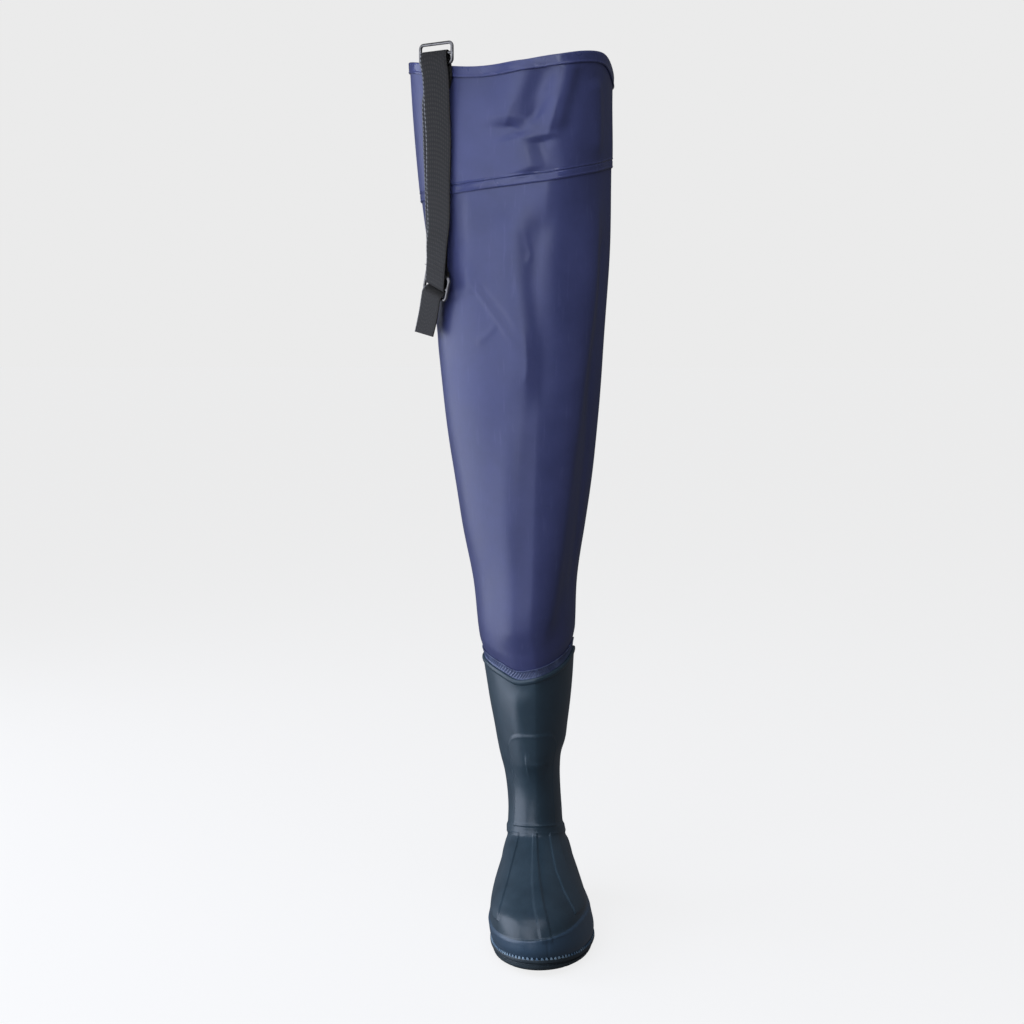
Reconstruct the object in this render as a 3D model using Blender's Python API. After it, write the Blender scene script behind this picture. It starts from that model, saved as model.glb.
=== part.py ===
"""Hip wader for the wearer's right foot, as separate solids.

Metres, +Z up. The toe points to -Y and the medial side is +X. The origin is on the floor
under the heel. One smooth form, a stack of closed sections from the feather line to the
collar, carries every soft piece: each piece is a band of that form at its own heights,
raised or sunk along the form's own normal.
"""
import math

import bmesh
import bpy
import numpy as np
from mathutils import Matrix, Vector

MM = 0.001

# Clearances
SEAT_GAP = 0.3 * MM
TUCK_GAP = 0.6 * MM

# Sole
SOLE_LENGTH = 298 * MM
BALL_WIDTH = 112 * MM
HEEL_BACK = 42 * MM
FOREFOOT_THICKNESS = 12.5 * MM
HEEL_THICKNESS = 27 * MM
TOE_SPRING = 7 * MM
INFLARE = 11 * MM
WELT_WIDTH = 3.5 * MM
SIDE_STEP = 3 * MM
ARCH_RISE = 6 * MM
ARCH_LENGTH = 46 * MM
LUG_DEPTH = 3.5 * MM
LUG_GROOVE = 5 * MM
LUG_PITCH = 0.0738 * SOLE_LENGTH
FOREFOOT_GROOVES = 6
HEEL_GROOVES = 2
INSOLE_THICKNESS = 3 * MM

# Places along the sole, as shares of its length from the heel's back
SPRING_START = 0.72
FALL_START, FALL_END = 0.20, 0.54
SWING_START, SWING_END = 0.12, 0.66
ARCH_CENTRE = 0.357
FIRST_GROOVE = 0.547
ARCH_SLOPE = 0.75

# Boot, moulded whole
INSTEP_HEIGHT = 107 * MM
SHAFT_HEIGHT = 290 * MM
SHAFT_WIDTH = 104 * MM
SHAFT_DEPTH = 153 * MM
BOOT_WALL = 2.4 * MM
RAND_STEP = 1.6 * MM
STRIP_STEP = 1.3 * MM
BAND_STEP = 1.4 * MM
PANEL_STEP = 1.0 * MM
PANEL_DROP = 76 * MM
RIM_STEP = 1.0 * MM
RIM_HEIGHT = 6 * MM
STEP_RUN = 0.6 * MM
PANEL_TOP = SHAFT_HEIGHT - PANEL_DROP

# Leg
COLLAR_HEIGHT = 941 * MM
THIGH_WIDTH = 221 * MM
THIGH_DEPTH = 190 * MM
LEG_WALL = 1.0 * MM
TUCK_DEPTH = 12 * MM
RELEASE_RISE = 25 * MM
WELD_BAND_HEIGHT = 9 * MM
WELD_BAND_WALL = 1.2 * MM
CUFF_DEPTH = 133 * MM
LAP_DEPTH = 12 * MM
HEM_DEPTH = 11.5 * MM
SEAM_HEIGHT = COLLAR_HEIGHT - CUFF_DEPTH

# Strap
WEBBING_WIDTH = 38 * MM
WEBBING_THICKNESS = 1.5 * MM
SLOT_CLEARANCE = 1.5 * MM
STRAP_PLACE = 0.475 * THIGH_WIDTH
WIRE = 3.5 * MM
RING_HEIGHT = 25 * MM
RING_RISE = 8 * MM
ADJUSTER_HEIGHT = 28 * MM
ADJUSTER_DROP = 236 * MM
ADJUSTER_TURN = math.radians(18.5)
ADJUSTER_SWING = 2.5 * MM
TAIL_LENGTH = 54 * MM
SEWN_END = 18 * MM
SLOT_WIDTH = WEBBING_WIDTH + 2 * SLOT_CLEARANCE
WIRE_SOFTENING = 0.4
SLOT_CORNER = 0.6
RING_LEVEL = COLLAR_HEIGHT + RING_RISE
ADJUSTER_LEVEL = COLLAR_HEIGHT - ADJUSTER_DROP

# Foot sections. Reaches are shares of the sole's length from the heel's back, rises are shares
# of the instep height above the sole's top, half widths are shares of the ball width.
FOOT_COLUMNS = ("name", "front_reach", "front_rise", "back_reach", "back_rise", "widest",
                "lateral", "medial", "nose", "tail", "taper", "waist", "follow")
FOOT_ROWS = (
    ("feather",   0.988, 0.000,  0.012, 0.000, 0.640, 0.468, 0.468, 1.88, 4.2, 0.26, 0.10, 1.00),
    ("rand low",  0.996, 0.060,  0.002, 0.060, 0.640, 0.487, 0.478, 1.90, 4.1, 0.24, 0.08, 1.00),
    ("rand top",  0.988, 0.190, -0.004, 0.125, 0.630, 0.492, 0.466, 2.02, 3.8, 0.22, 0.06, 0.90),
    ("toe bend",  0.958, 0.330, -0.006, 0.185, 0.610, 0.476, 0.446, 2.20, 3.4, 0.20, 0.05, 0.75),
    ("toe top",   0.896, 0.430, -0.006, 0.240, 0.580, 0.434, 0.418, 2.18, 3.0, 0.18, 0.04, 0.60),
    ("vamp fore", 0.815, 0.505, -0.004, 0.290, 0.555, 0.396, 0.386, 2.18, 2.7, 0.15, 0.03, 0.50),
    ("vamp mid",  0.725, 0.572,  0.000, 0.335, 0.530, 0.366, 0.354, 2.15, 2.5, 0.12, 0.02, 0.40),
    ("vamp high", 0.635, 0.630,  0.006, 0.375, 0.515, 0.350, 0.334, 2.10, 2.35, 0.09, 0.01, 0.30),
    ("instep",    0.540, 0.690,  0.013, 0.410, 0.505, 0.332, 0.310, 2.10, 2.2, 0.05, 0.00, 0.20),
    ("band low",  0.411, 0.762,  0.020, 0.440, 0.500, 0.312, 0.266, 2.05, 2.1, 0.02, 0.00, 0.00),
)

# Shaft sections. Rises are shares of the way from the instep height to the boot's top,
# front and back are shares of the shaft's depth, half widths are shares of its width.
SHAFT_COLUMNS = ("name", "front_rise", "back_rise", "front", "back", "lateral", "medial",
                 "front_crease", "back_crease")
SHAFT_ROWS = (
    ("band top",   0.000, -0.125, 0.510, 0.235, 0.336, 0.268, 2.00, 2.1),
    ("ankle",      0.095,  0.005, 0.488, 0.218, 0.331, 0.252, 1.90, 2.0),
    ("narrow",     0.195,  0.152, 0.480, 0.218, 0.345, 0.237, 1.75, 1.9),
    ("low shin",   0.295,  0.285, 0.496, 0.236, 0.375, 0.232, 1.70, 1.9),
    ("shin",       0.390,  0.390, 0.516, 0.262, 0.420, 0.246, 1.65, 1.9),
    ("mid shin",   0.480,  0.480, 0.538, 0.288, 0.452, 0.292, 1.62, 1.9),
    ("calf low",   0.585,  0.585, 0.562, 0.314, 0.484, 0.316, 1.60, 1.9),
    ("calf",       0.725,  0.725, 0.588, 0.340, 0.530, 0.346, 1.60, 1.9),
    ("calf high",  0.865,  0.865, 0.610, 0.360, 0.568, 0.368, 1.60, 1.9),
    ("boot top",   1.000,  1.000, 0.626, 0.374, 0.604, 0.382, 1.60, 1.9),
)

# Leg sections. Rises are shares of the way from the boot's top to the collar, the rest are
# shares of the thigh's depth and width. The crease place is the front fold's own offset.
LEG_COLUMNS = ("name", "rise", "front", "back", "lateral", "medial", "crease_place",
               "front_crease", "back_crease")
LEG_ROWS = (
    ("above boot", 0.050, 0.516, 0.308, 0.304, 0.186, -0.020, 1.55, 1.8),
    ("low leg",    0.130, 0.526, 0.318, 0.329, 0.193, -0.012, 1.50, 1.7),
    ("below knee", 0.234, 0.540, 0.334, 0.394, 0.233, -0.005, 1.50, 1.7),
    ("knee",       0.340, 0.550, 0.350, 0.440, 0.272,  0.005, 1.50, 1.7),
    ("above knee", 0.495, 0.560, 0.374, 0.492, 0.312,  0.020, 1.50, 1.7),
    ("mid thigh",  0.650, 0.566, 0.396, 0.540, 0.340,  0.035, 1.50, 1.7),
    ("seam",       0.798, 0.566, 0.416, 0.593, 0.353,  0.060, 1.50, 1.7),
    ("upper cuff", 0.920, 0.562, 0.430, 0.624, 0.360,  0.090, 1.52, 1.7),
    ("collar",     1.000, 0.558, 0.440, 0.638, 0.368,  0.110, 1.55, 1.7),
    ("over edge",  1.040, 0.557, 0.444, 0.644, 0.371,  0.115, 1.55, 1.7),
)

# Edge lines round the leg: quarter turns from the front, by the lateral side, and the rise
# there above the line's own height, as a share of that line's dip.
BOOT_TOP_DIP = 15.5 * MM
SEAM_DIP = 25 * MM
COLLAR_DIP = 9 * MM
EDGE_COLUMNS = ("turn", "rise")
BOOT_TOP_LINE = ((0.0, -1.00), (0.5, -0.39), (1.0, 0.06), (1.5, -0.13), (2.0, -0.39), (2.5, 0.00),
                 (3.0, 0.65), (3.5, -0.06))
SEAM_LINE = ((0.0, 0.16), (0.5, -0.20), (1.0, -0.48), (1.5, -0.24), (2.0, 0.12), (2.5, 0.60),
             (3.0, 1.00), (3.5, 0.60))
COLLAR_LINE = ((0.0, 0.11), (0.4, -0.89), (1.0, 0.78), (1.5, 0.67), (2.0, 0.33), (2.5, -0.33),
               (3.0, -1.00), (3.45, 0.83), (3.75, 0.67))

# Side of the sole from the tread to the welt: inset as a share of the side step, height as a
# share of the sole's local thickness.
SOLE_EDGE_COLUMNS = ("name", "inset", "height")
SOLE_EDGE_ROWS = (
    ("tread corner", 2.10, 0.00),
    ("tread side",   0.90, 0.16),
    ("tread top",    0.55, 0.44),
    ("recess low",   1.00, 0.49),
    ("recess high",  0.95, 0.61),
    ("welt low",     0.00, 0.68),
    ("welt side",    0.00, 0.92),
    ("welt top",     0.30, 1.00),
)

# Places of the columns round the boot, as shares of each quarter turn. The edges of the
# raised strips get a column on each side of the step.
CENTRE_STRIP = 0.075
SIDE_STRIP_INNER = 0.40
SIDE_STRIP_OUTER = 0.62
STRIP_EDGES = (CENTRE_STRIP, SIDE_STRIP_INNER, SIDE_STRIP_OUTER)
EDGE_HALF = 0.006
FRONT_PLAIN_COLUMNS = (0.0, 0.18, 0.29, 0.51, 0.74, 0.87)
BACK_COLUMNS = (0.0, 0.16, 0.32, 0.46, 0.58, 0.68, 0.76, 0.83, 0.89, 0.945)
LEG_QUARTER_COLUMNS = 10
STRIP_FOOT_SHARE = 0.45

# The last is waisted less on its lateral side, by this share
LATERAL_WAIST = 0.4

# Shares of the way up, from one edge line to the next, at which the pieces have a ring
SHAFT_SHARES = (0.35, 0.70)
SHAFT_INNER_SHARES = (0.30, 0.60, 0.85, 1.00)
LEG_SHARES = (0.00, 0.10, 0.22, 0.35, 0.48, 0.61, 0.74, 0.87, 1.00)
CUFF_SHARES = (0.00, 0.10, 0.32, 0.55, 0.78, 1.00)
RIM_BEND, RIM_CROWN = 0.3, 0.4
HEM_CROWN = 0.4
LOWEST_RINGS = (0.0, 0.35)

DENSE = 24
QUARTERS = 4


def ease(share):
    """Smooth step from 0 to 1."""
    share = np.clip(share, 0.0, 1.0)
    return share * share * (3.0 - 2.0 * share)


def table(columns, rows):
    """Rows of a table as dictionaries with named columns."""
    return [dict(zip(columns, row)) for row in rows]


# Sole lines, by reach from the heel's back
def toe_spring(reach):
    return TOE_SPRING * np.clip((reach - SPRING_START) / (1.0 - SPRING_START), 0.0, None) ** 2


def sole_top(y):
    reach = (HEEL_BACK - np.asarray(y)) / SOLE_LENGTH
    fall = ease((reach - FALL_START) / (FALL_END - FALL_START))
    return HEEL_THICKNESS + (FOREFOOT_THICKNESS - HEEL_THICKNESS) * fall + toe_spring(reach)


def sole_bottom(y):
    return toe_spring((HEEL_BACK - np.asarray(y)) / SOLE_LENGTH)


def inflare(y):
    """Sideways swing of the last towards the big toe."""
    reach = (HEEL_BACK - np.asarray(y)) / SOLE_LENGTH
    return INFLARE * ease((reach - SWING_START) / (SWING_END - SWING_START))


# Closed sections of the form
def quarter(half_width, length, width_power, length_power, taper, waist):
    """Quarter outline from its widest place to its end, evenly spaced along the curve."""
    turn = np.linspace(0.0, math.pi / 2, 241)
    along = np.sin(turn) ** (2.0 / length_power)
    across = np.maximum(np.cos(turn), 0.0) ** (2.0 / width_power)
    narrowing = 1.0 - taper * ease(along) - waist * np.sin(math.pi * along) ** 2
    x, y = half_width * across * narrowing, length * along
    run = np.concatenate(([0.0], np.cumsum(np.hypot(np.diff(x), np.diff(y)))))
    even = np.linspace(0.0, run[-1], DENSE + 1)
    return np.interp(even, run, x), np.interp(even, run, y)


def outline(front, back, widest, lateral, medial, front_powers, back_powers,
            taper=0.0, waist=0.0, crease_place=0.0):
    """Closed outline from the front by the lateral side, with DENSE points a quarter turn."""
    middle = back + widest * (front - back)
    xs, ys = [], []
    for side, half in ((-1.0, lateral), (1.0, medial)):
        fx, fy = quarter(half, middle - front, *front_powers, 0.0, 0.0)
        side_waist = waist if side > 0 else LATERAL_WAIST * waist
        bx, by = quarter(half, back - middle, *back_powers, taper, side_waist)
        slide = crease_place * (fy / (middle - front)) ** 2
        fx, fy = side * fx + slide, middle - fy
        bx, by = side * bx, middle + by
        if side < 0:
            xs += [fx[::-1][:-1], bx[:-1]]
            ys += [fy[::-1][:-1], by[:-1]]
        else:
            xs += [bx[::-1][:-1], fx[:-1]]
            ys += [by[::-1][:-1], fy[:-1]]
    return np.concatenate(xs), np.concatenate(ys)


def foot_section(row):
    front = HEEL_BACK - row["front_reach"] * SOLE_LENGTH
    back = HEEL_BACK - row["back_reach"] * SOLE_LENGTH
    nose, tail = (row["nose"], row["nose"]), (row["tail"], row["tail"])
    x, y = outline(front, back, row["widest"], row["lateral"] * BALL_WIDTH,
                   row["medial"] * BALL_WIDTH, nose, tail, row["taper"], row["waist"])
    share = (back - y) / (back - front)
    floor = sole_top(back) + (sole_top(front) - sole_top(back)) * share
    rise = row["back_rise"] + (row["front_rise"] - row["back_rise"]) * share
    z = floor + rise * INSTEP_HEIGHT + row["follow"] * (sole_top(y) - floor) + SEAT_GAP
    return np.stack((x + row["follow"] * inflare(y), y, z), axis=1)


def shaft_section(row):
    front, back = -row["front"] * SHAFT_DEPTH, row["back"] * SHAFT_DEPTH
    x, y = outline(front, back, 0.50, row["lateral"] * SHAFT_WIDTH, row["medial"] * SHAFT_WIDTH,
                   (row["front_crease"], 2.0), (row["back_crease"], 2.0))
    share = (back - y) / (back - front)
    rise = row["back_rise"] + (row["front_rise"] - row["back_rise"]) * share
    z = INSTEP_HEIGHT + rise * (SHAFT_HEIGHT - INSTEP_HEIGHT)
    return np.stack((x, y, z), axis=1)


def leg_section(row):
    front, back = -row["front"] * THIGH_DEPTH, row["back"] * THIGH_DEPTH
    x, y = outline(front, back, 0.50, row["lateral"] * THIGH_WIDTH, row["medial"] * THIGH_WIDTH,
                   (row["front_crease"], 2.0), (row["back_crease"], 2.0),
                   crease_place=row["crease_place"] * THIGH_WIDTH)
    z = np.full_like(x, SHAFT_HEIGHT + row["rise"] * (COLLAR_HEIGHT - SHAFT_HEIGHT))
    return np.stack((x, y, z), axis=1)


FOOT = table(FOOT_COLUMNS, FOOT_ROWS)
SHAFT = table(SHAFT_COLUMNS, SHAFT_ROWS)
LEG = table(LEG_COLUMNS, LEG_ROWS)
ROW_NAMES = [row["name"] for row in FOOT + SHAFT + LEG]
SECTIONS = np.array([foot_section(row) for row in FOOT] + [shaft_section(row) for row in SHAFT]
                    + [leg_section(row) for row in LEG])
SPACING = np.linalg.norm(np.diff(SECTIONS, axis=0), axis=2).mean(axis=1)
LEVELS = SECTIONS[:, :, 2].mean(axis=1)


def section_slopes():
    """Slope of the form across its sections, for an even curve through uneven spacing."""
    steps = np.diff(SECTIONS, axis=0) / SPACING[:, None, None]
    slopes = np.empty_like(SECTIONS)
    slopes[0], slopes[-1] = steps[0], steps[-1]
    before, after = SPACING[:-1, None, None], SPACING[1:, None, None]
    slopes[1:-1] = (steps[:-1] * after + steps[1:] * before) / (before + after)
    return slopes


SLOPES = section_slopes()


def form_point(v, u):
    """Points on the form: v counts its sections, u counts quarter turns from the front."""
    v, u = np.broadcast_arrays(np.asarray(v, float), np.asarray(u, float))
    low = np.clip(np.floor(v).astype(int), 0, len(SECTIONS) - 2)
    t = (v - low)[..., None]
    column = (u % QUARTERS) * DENSE
    left = np.floor(column).astype(int)
    part = (column - left)[..., None]
    left, right = left % (QUARTERS * DENSE), (left + 1) % (QUARTERS * DENSE)
    run = SPACING[low][..., None]

    def across(grid, row):
        return grid[row, left] * (1.0 - part) + grid[row, right] * part

    return ((2 * t**3 - 3 * t**2 + 1) * across(SECTIONS, low)
            + (t**3 - 2 * t**2 + t) * run * across(SLOPES, low)
            + (3 * t**2 - 2 * t**3) * across(SECTIONS, low + 1)
            + (t**3 - t**2) * run * across(SLOPES, low + 1))


def form_normal(v, u):
    """Outward unit normals of the form."""
    top = len(SECTIONS) - 1
    up = form_point(np.minimum(v + 0.05, top), u) - form_point(np.maximum(v - 0.05, 0.0), u)
    round_way = form_point(v, u + 0.03) - form_point(v, u - 0.03)
    normal = np.cross(up, round_way)
    return normal / np.linalg.norm(normal, axis=-1, keepdims=True)


def raised(v, u, lift):
    """Points on the form, lifted along its normal."""
    v, u = np.broadcast_arrays(np.asarray(v, float), np.asarray(u, float))
    lift = np.broadcast_to(np.asarray(lift, float), v.shape)
    return form_point(v, u) + form_normal(v, u) * lift[..., None]


def section_at(height):
    """Section count v at a height on the shaft or the leg."""
    first = ROW_NAMES.index("shin")
    return np.interp(height, LEVELS[first:], np.arange(first, len(SECTIONS)))


def section_run(v, run):
    """Change of v that covers a distance along the form."""
    return run / SPACING[min(int(v), len(SPACING) - 1)]


def edge_line(rows, height, dip, u):
    """Height of an edge line at each quarter turn, a smooth closed curve through its rows."""
    named = table(EDGE_COLUMNS, rows)
    turns = np.array([row["turn"] for row in named])
    rises = np.array([row["rise"] for row in named]) * dip
    turns = np.concatenate((turns - QUARTERS, turns, turns + QUARTERS))
    rises = np.tile(rises, 3)
    slopes = np.gradient(rises, turns)
    u = np.asarray(u, float) % QUARTERS
    low = np.clip(np.searchsorted(turns, u, side="right") - 1, 0, len(turns) - 2)
    run = turns[low + 1] - turns[low]
    t = (u - turns[low]) / run
    rise = ((2 * t**3 - 3 * t**2 + 1) * rises[low] + (t**3 - 2 * t**2 + t) * run * slopes[low]
            + (3 * t**2 - 2 * t**3) * rises[low + 1] + (t**3 - t**2) * run * slopes[low + 1])
    return height + rise


def boot_top(u):
    return edge_line(BOOT_TOP_LINE, SHAFT_HEIGHT, BOOT_TOP_DIP, u)


def seam_level(u):
    return edge_line(SEAM_LINE, SEAM_HEIGHT, SEAM_DIP, u)


def collar_level(u):
    return edge_line(COLLAR_LINE, COLLAR_HEIGHT, COLLAR_DIP, u)


# Columns round the pieces
def boot_columns():
    front = list(FRONT_PLAIN_COLUMNS)
    for place in STRIP_EDGES:
        front += [place - EDGE_HALF, place + EDGE_HALF]
    front.sort()
    lateral = front + [1.0 + share for share in BACK_COLUMNS]
    medial = [QUARTERS - share for share in lateral[1:]]
    return np.array(lateral + [2.0] + medial[::-1])


BOOT_U = boot_columns()
LEG_U = np.arange(QUARTERS * LEG_QUARTER_COLUMNS) / LEG_QUARTER_COLUMNS
STRIP_FOOT = ROW_NAMES.index("rand top") + STRIP_FOOT_SHARE


# Mesh helpers
def add_material(name, colour, roughness, metallic=0.0):
    material = bpy.data.materials.new(name)
    material.use_nodes = True
    shader = material.node_tree.nodes["Principled BSDF"]
    shader.inputs["Base Color"].default_value = (*colour, 1.0)
    shader.inputs["Roughness"].default_value = roughness
    shader.inputs["Metallic"].default_value = metallic
    material.diffuse_color = (*colour, 1.0)
    return material


def add_object(name, mesh, material, collection):
    mesh.materials.append(material)
    mesh.shade_smooth()
    mesh.set_sharp_from_angle(angle=math.radians(35))
    thing = bpy.data.objects.new(name, mesh)
    collection.objects.link(thing)
    return thing


def outward(shape):
    """Turn a closed shape's faces out."""
    if shape.calc_volume(signed=True) < 0:
        bmesh.ops.reverse_faces(shape, faces=shape.faces)


def ring_mesh(name, rings, cap):
    """Loft closed rings. Without a cap the last ring meets the first, as in a hollow wall."""
    shape = bmesh.new()
    loops = [[shape.verts.new(point) for point in ring] for ring in rings]
    pairs = list(zip(loops, loops[1:]))
    if not cap:
        pairs.append((loops[-1], loops[0]))
    for low, high in pairs:
        for left in range(len(low)):
            right = (left + 1) % len(low)
            shape.faces.new((low[left], low[right], high[right], high[left]))
    if cap:
        for loop in (loops[0], loops[-1]):
            close_across(shape, loop)
    bmesh.ops.recalc_face_normals(shape, faces=shape.faces)
    outward(shape)
    mesh = bpy.data.meshes.new(name)
    shape.to_mesh(mesh)
    shape.free()
    return mesh


def close_across(shape, loop):
    """Cap a ring with strips from its lateral to its medial side."""
    half, count = len(loop) // 2, len(loop)
    shape.faces.new((loop[0], loop[1], loop[count - 1]))
    for step in range(1, half - 1):
        shape.faces.new((loop[step], loop[step + 1], loop[count - step - 1], loop[count - step]))
    shape.faces.new((loop[half - 1], loop[half], loop[half + 1]))


def hollow(name, outer, inner, material, collection):
    """Hollow wall from its outer rings, bottom to top, and its inner rings, bottom to top."""
    return add_object(name, ring_mesh(name, outer + inner[::-1], cap=False), material, collection)


# Outsole
def sole_ring(inset, height):
    """Outline of the sole, the welt's width outside the feather, less an inset."""
    feather = FOOT[0]
    front, back = HEEL_BACK - SOLE_LENGTH + inset, HEEL_BACK - inset
    half = feather["lateral"] * BALL_WIDTH + WELT_WIDTH - inset
    x, y = outline(front, back, feather["widest"], half, half, (feather["nose"],) * 2,
                   (feather["tail"],) * 2, feather["taper"], feather["waist"])
    x = x + inflare(y)
    places = BOOT_U * DENSE
    around = np.arange(QUARTERS * DENSE + 1)
    x = np.interp(places, around, np.append(x, x[0]))
    y = np.interp(places, around, np.append(y, y[0]))
    low, high = sole_bottom(y), sole_top(y)
    return np.stack((x, y, low + (high - low) * height), axis=1)


def box_cutter(shape, y, length, depth, slope):
    """Box right across the sole, from below the floor up to a depth, narrower at its top."""
    made = bmesh.ops.create_cube(shape, size=1.0)["verts"]
    bmesh.ops.scale(shape, vec=(2 * BALL_WIDTH, length, 2 * depth), verts=made)
    for vert in made:
        if vert.co.z > 0:
            vert.co.y *= slope
    bmesh.ops.translate(shape, vec=(0.0, y, 0.0), verts=made)


def groove_places():
    """Places of the grooves between the lugs, from the ball to the toe and under the heel."""
    first = HEEL_BACK - FIRST_GROOVE * SOLE_LENGTH
    fore = [first - step * LUG_PITCH for step in range(FOREFOOT_GROOVES)]
    heel = [-(step + 0.5) * LUG_PITCH for step in range(HEEL_GROOVES)]
    return fore + heel


def make_outsole(material, collection, cutters):
    rings = [sole_ring(row["inset"] * SIDE_STEP, row["height"])
             for row in table(SOLE_EDGE_COLUMNS, SOLE_EDGE_ROWS)]
    sole = add_object("outsole", ring_mesh("outsole", rings, cap=True), material, collection)
    shape = bmesh.new()
    for y in groove_places():
        depth = float(sole_bottom(y)) + LUG_DEPTH
        box_cutter(shape, y, LUG_GROOVE, depth, 1.0)
    box_cutter(shape, HEEL_BACK - ARCH_CENTRE * SOLE_LENGTH, ARCH_LENGTH, ARCH_RISE, ARCH_SLOPE)
    mesh = bpy.data.meshes.new("tread cutter")
    shape.to_mesh(mesh)
    shape.free()
    cutter = bpy.data.objects.new("tread cutter", mesh)
    cutters.objects.link(cutter)
    cutter.hide_render = True
    cutter.display_type = "WIRE"
    cut = sole.modifiers.new("tread", "BOOLEAN")
    cut.operation = "DIFFERENCE"
    cut.solver = "EXACT"
    cut.object = cutter
    return sole


def make_insole(material, collection):
    rings = []
    for inset, rise in ((TUCK_GAP, 0.0), (TUCK_GAP, 1.0)):
        ring = raised(0.0, BOOT_U, -BOOT_WALL - inset)
        ring[:, 2] = sole_top(ring[:, 1]) + SEAT_GAP + rise * INSOLE_THICKNESS
        rings.append(ring)
    return add_object("insole", ring_mesh("insole", rings, cap=True), material, collection)


# Boot upper
def between(value, low, high):
    return (value > low) & (value < high)


def front_turn(u):
    """Distance round from the front, in quarter turns."""
    return np.minimum(u, QUARTERS - u)


def boot_lift(v, u):
    """Height of the wall's steps above the form: rand, strips, ankle band, panel and rim."""
    row = ROW_NAMES.index
    turn = front_turn(u)
    lift = np.zeros(np.broadcast(v, u).shape)
    on_strip = (turn < CENTRE_STRIP) | between(turn, SIDE_STRIP_INNER, SIDE_STRIP_OUTER)
    lift += RAND_STEP * between(v, 0.1, row("rand top"))
    lift += STRIP_STEP * (between(v, STRIP_FOOT, row("band low")) & on_strip)
    lift += BAND_STEP * between(v, row("band low"), row("band top"))
    on_panel = between(v, row("band top"), section_at(PANEL_TOP)) & (turn < SIDE_STRIP_INNER)
    lift += PANEL_STEP * on_panel
    return lift


def boot_levels():
    """Sections of the boot's outer face, with a pair of close ones at each step."""
    row = ROW_NAMES.index
    levels = list(LOWEST_RINGS)
    levels += [row(name) for name in ("rand low", "toe bend", "toe top", "vamp fore", "vamp mid",
                                      "vamp high", "instep", "ankle", "narrow", "low shin",
                                      "shin", "mid shin")]
    panel_top = float(section_at(PANEL_TOP))
    for step in (row("rand top"), STRIP_FOOT, row("band low"), row("band top"), panel_top):
        run = section_run(step, STEP_RUN)
        levels = [level for level in levels if abs(level - step) > 2 * run]
        levels += [step - run, step + run]
    return sorted(levels)


def make_boot_upper(material, collection):
    levels = boot_levels()
    outer = [raised(v, BOOT_U, boot_lift(np.full_like(BOOT_U, v), BOOT_U)) for v in levels]
    base, top = form_point(levels[-1], 0.0)[2], boot_top(BOOT_U)
    for share in SHAFT_SHARES:
        outer.append(raised(section_at(base + share * (top - base)), BOOT_U, 0.0))
    for fall, lift in ((RIM_HEIGHT + STEP_RUN, 0.0), (RIM_HEIGHT, RIM_STEP),
                       (RIM_BEND * RIM_HEIGHT, RIM_STEP), (0.0, RIM_CROWN * RIM_STEP)):
        outer.append(raised(section_at(top - fall), BOOT_U, lift))
    inner = [raised(ROW_NAMES.index(name), BOOT_U, -BOOT_WALL) for name in
             ("feather", "rand low", "rand top", "toe bend", "toe top", "vamp fore", "vamp mid",
              "vamp high", "instep", "band low", "ankle", "low shin", "mid shin")]
    inner[0][:, 2] = sole_top(inner[0][:, 1]) + SEAT_GAP
    base = LEVELS[ROW_NAMES.index("mid shin")]
    for share in SHAFT_INNER_SHARES:
        inner.append(raised(section_at(base + share * (top - base)), BOOT_U, -BOOT_WALL))
    return hollow("boot_upper", outer, inner, material, collection)


# Leg, cuff, hem and weld band
def leg_lift(height, u):
    """The leg is sunk inside the boot's top and comes out to the form above it."""
    release = ease((height - boot_top(u)) / RELEASE_RISE)
    return -(BOOT_WALL + TUCK_GAP) * (1.0 - release)


def leg_ring(height, u, lift):
    """Ring at its own height in every column, lifted from the leg's outer face."""
    return raised(section_at(height), u, leg_lift(height, u) + lift)


def make_leg_tube(material, collection):
    foot = boot_top(LEG_U)
    start = foot + RELEASE_RISE
    top = seam_level(LEG_U) + LAP_DEPTH
    heights = [foot - TUCK_DEPTH, foot, foot + 0.5 * RELEASE_RISE]
    heights += [start + share * (top - start) for share in LEG_SHARES]
    outer = [leg_ring(height, LEG_U, 0.0) for height in heights]
    inner = [leg_ring(height, LEG_U, -LEG_WALL) for height in heights]
    return hollow("leg_tube", outer, inner, material, collection)


def make_weld_band(material, collection):
    low, high = boot_top(LEG_U) + SEAT_GAP, boot_top(LEG_U) + SEAT_GAP + WELD_BAND_HEIGHT
    outer = [leg_ring(height, LEG_U, SEAT_GAP + WELD_BAND_WALL) for height in (low, high)]
    inner = [leg_ring(height, LEG_U, SEAT_GAP) for height in (low, high)]
    return hollow("weld_band", outer, inner, material, collection)


def make_cuff(material, collection):
    low, top = seam_level(LEG_U), collar_level(LEG_U)
    heights = [low + share * (top - low) for share in CUFF_SHARES]
    outer = [leg_ring(height, LEG_U, SEAT_GAP + LEG_WALL) for height in heights]
    inner = [leg_ring(height, LEG_U, SEAT_GAP) for height in heights]
    return hollow("cuff", outer, inner, material, collection)


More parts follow.
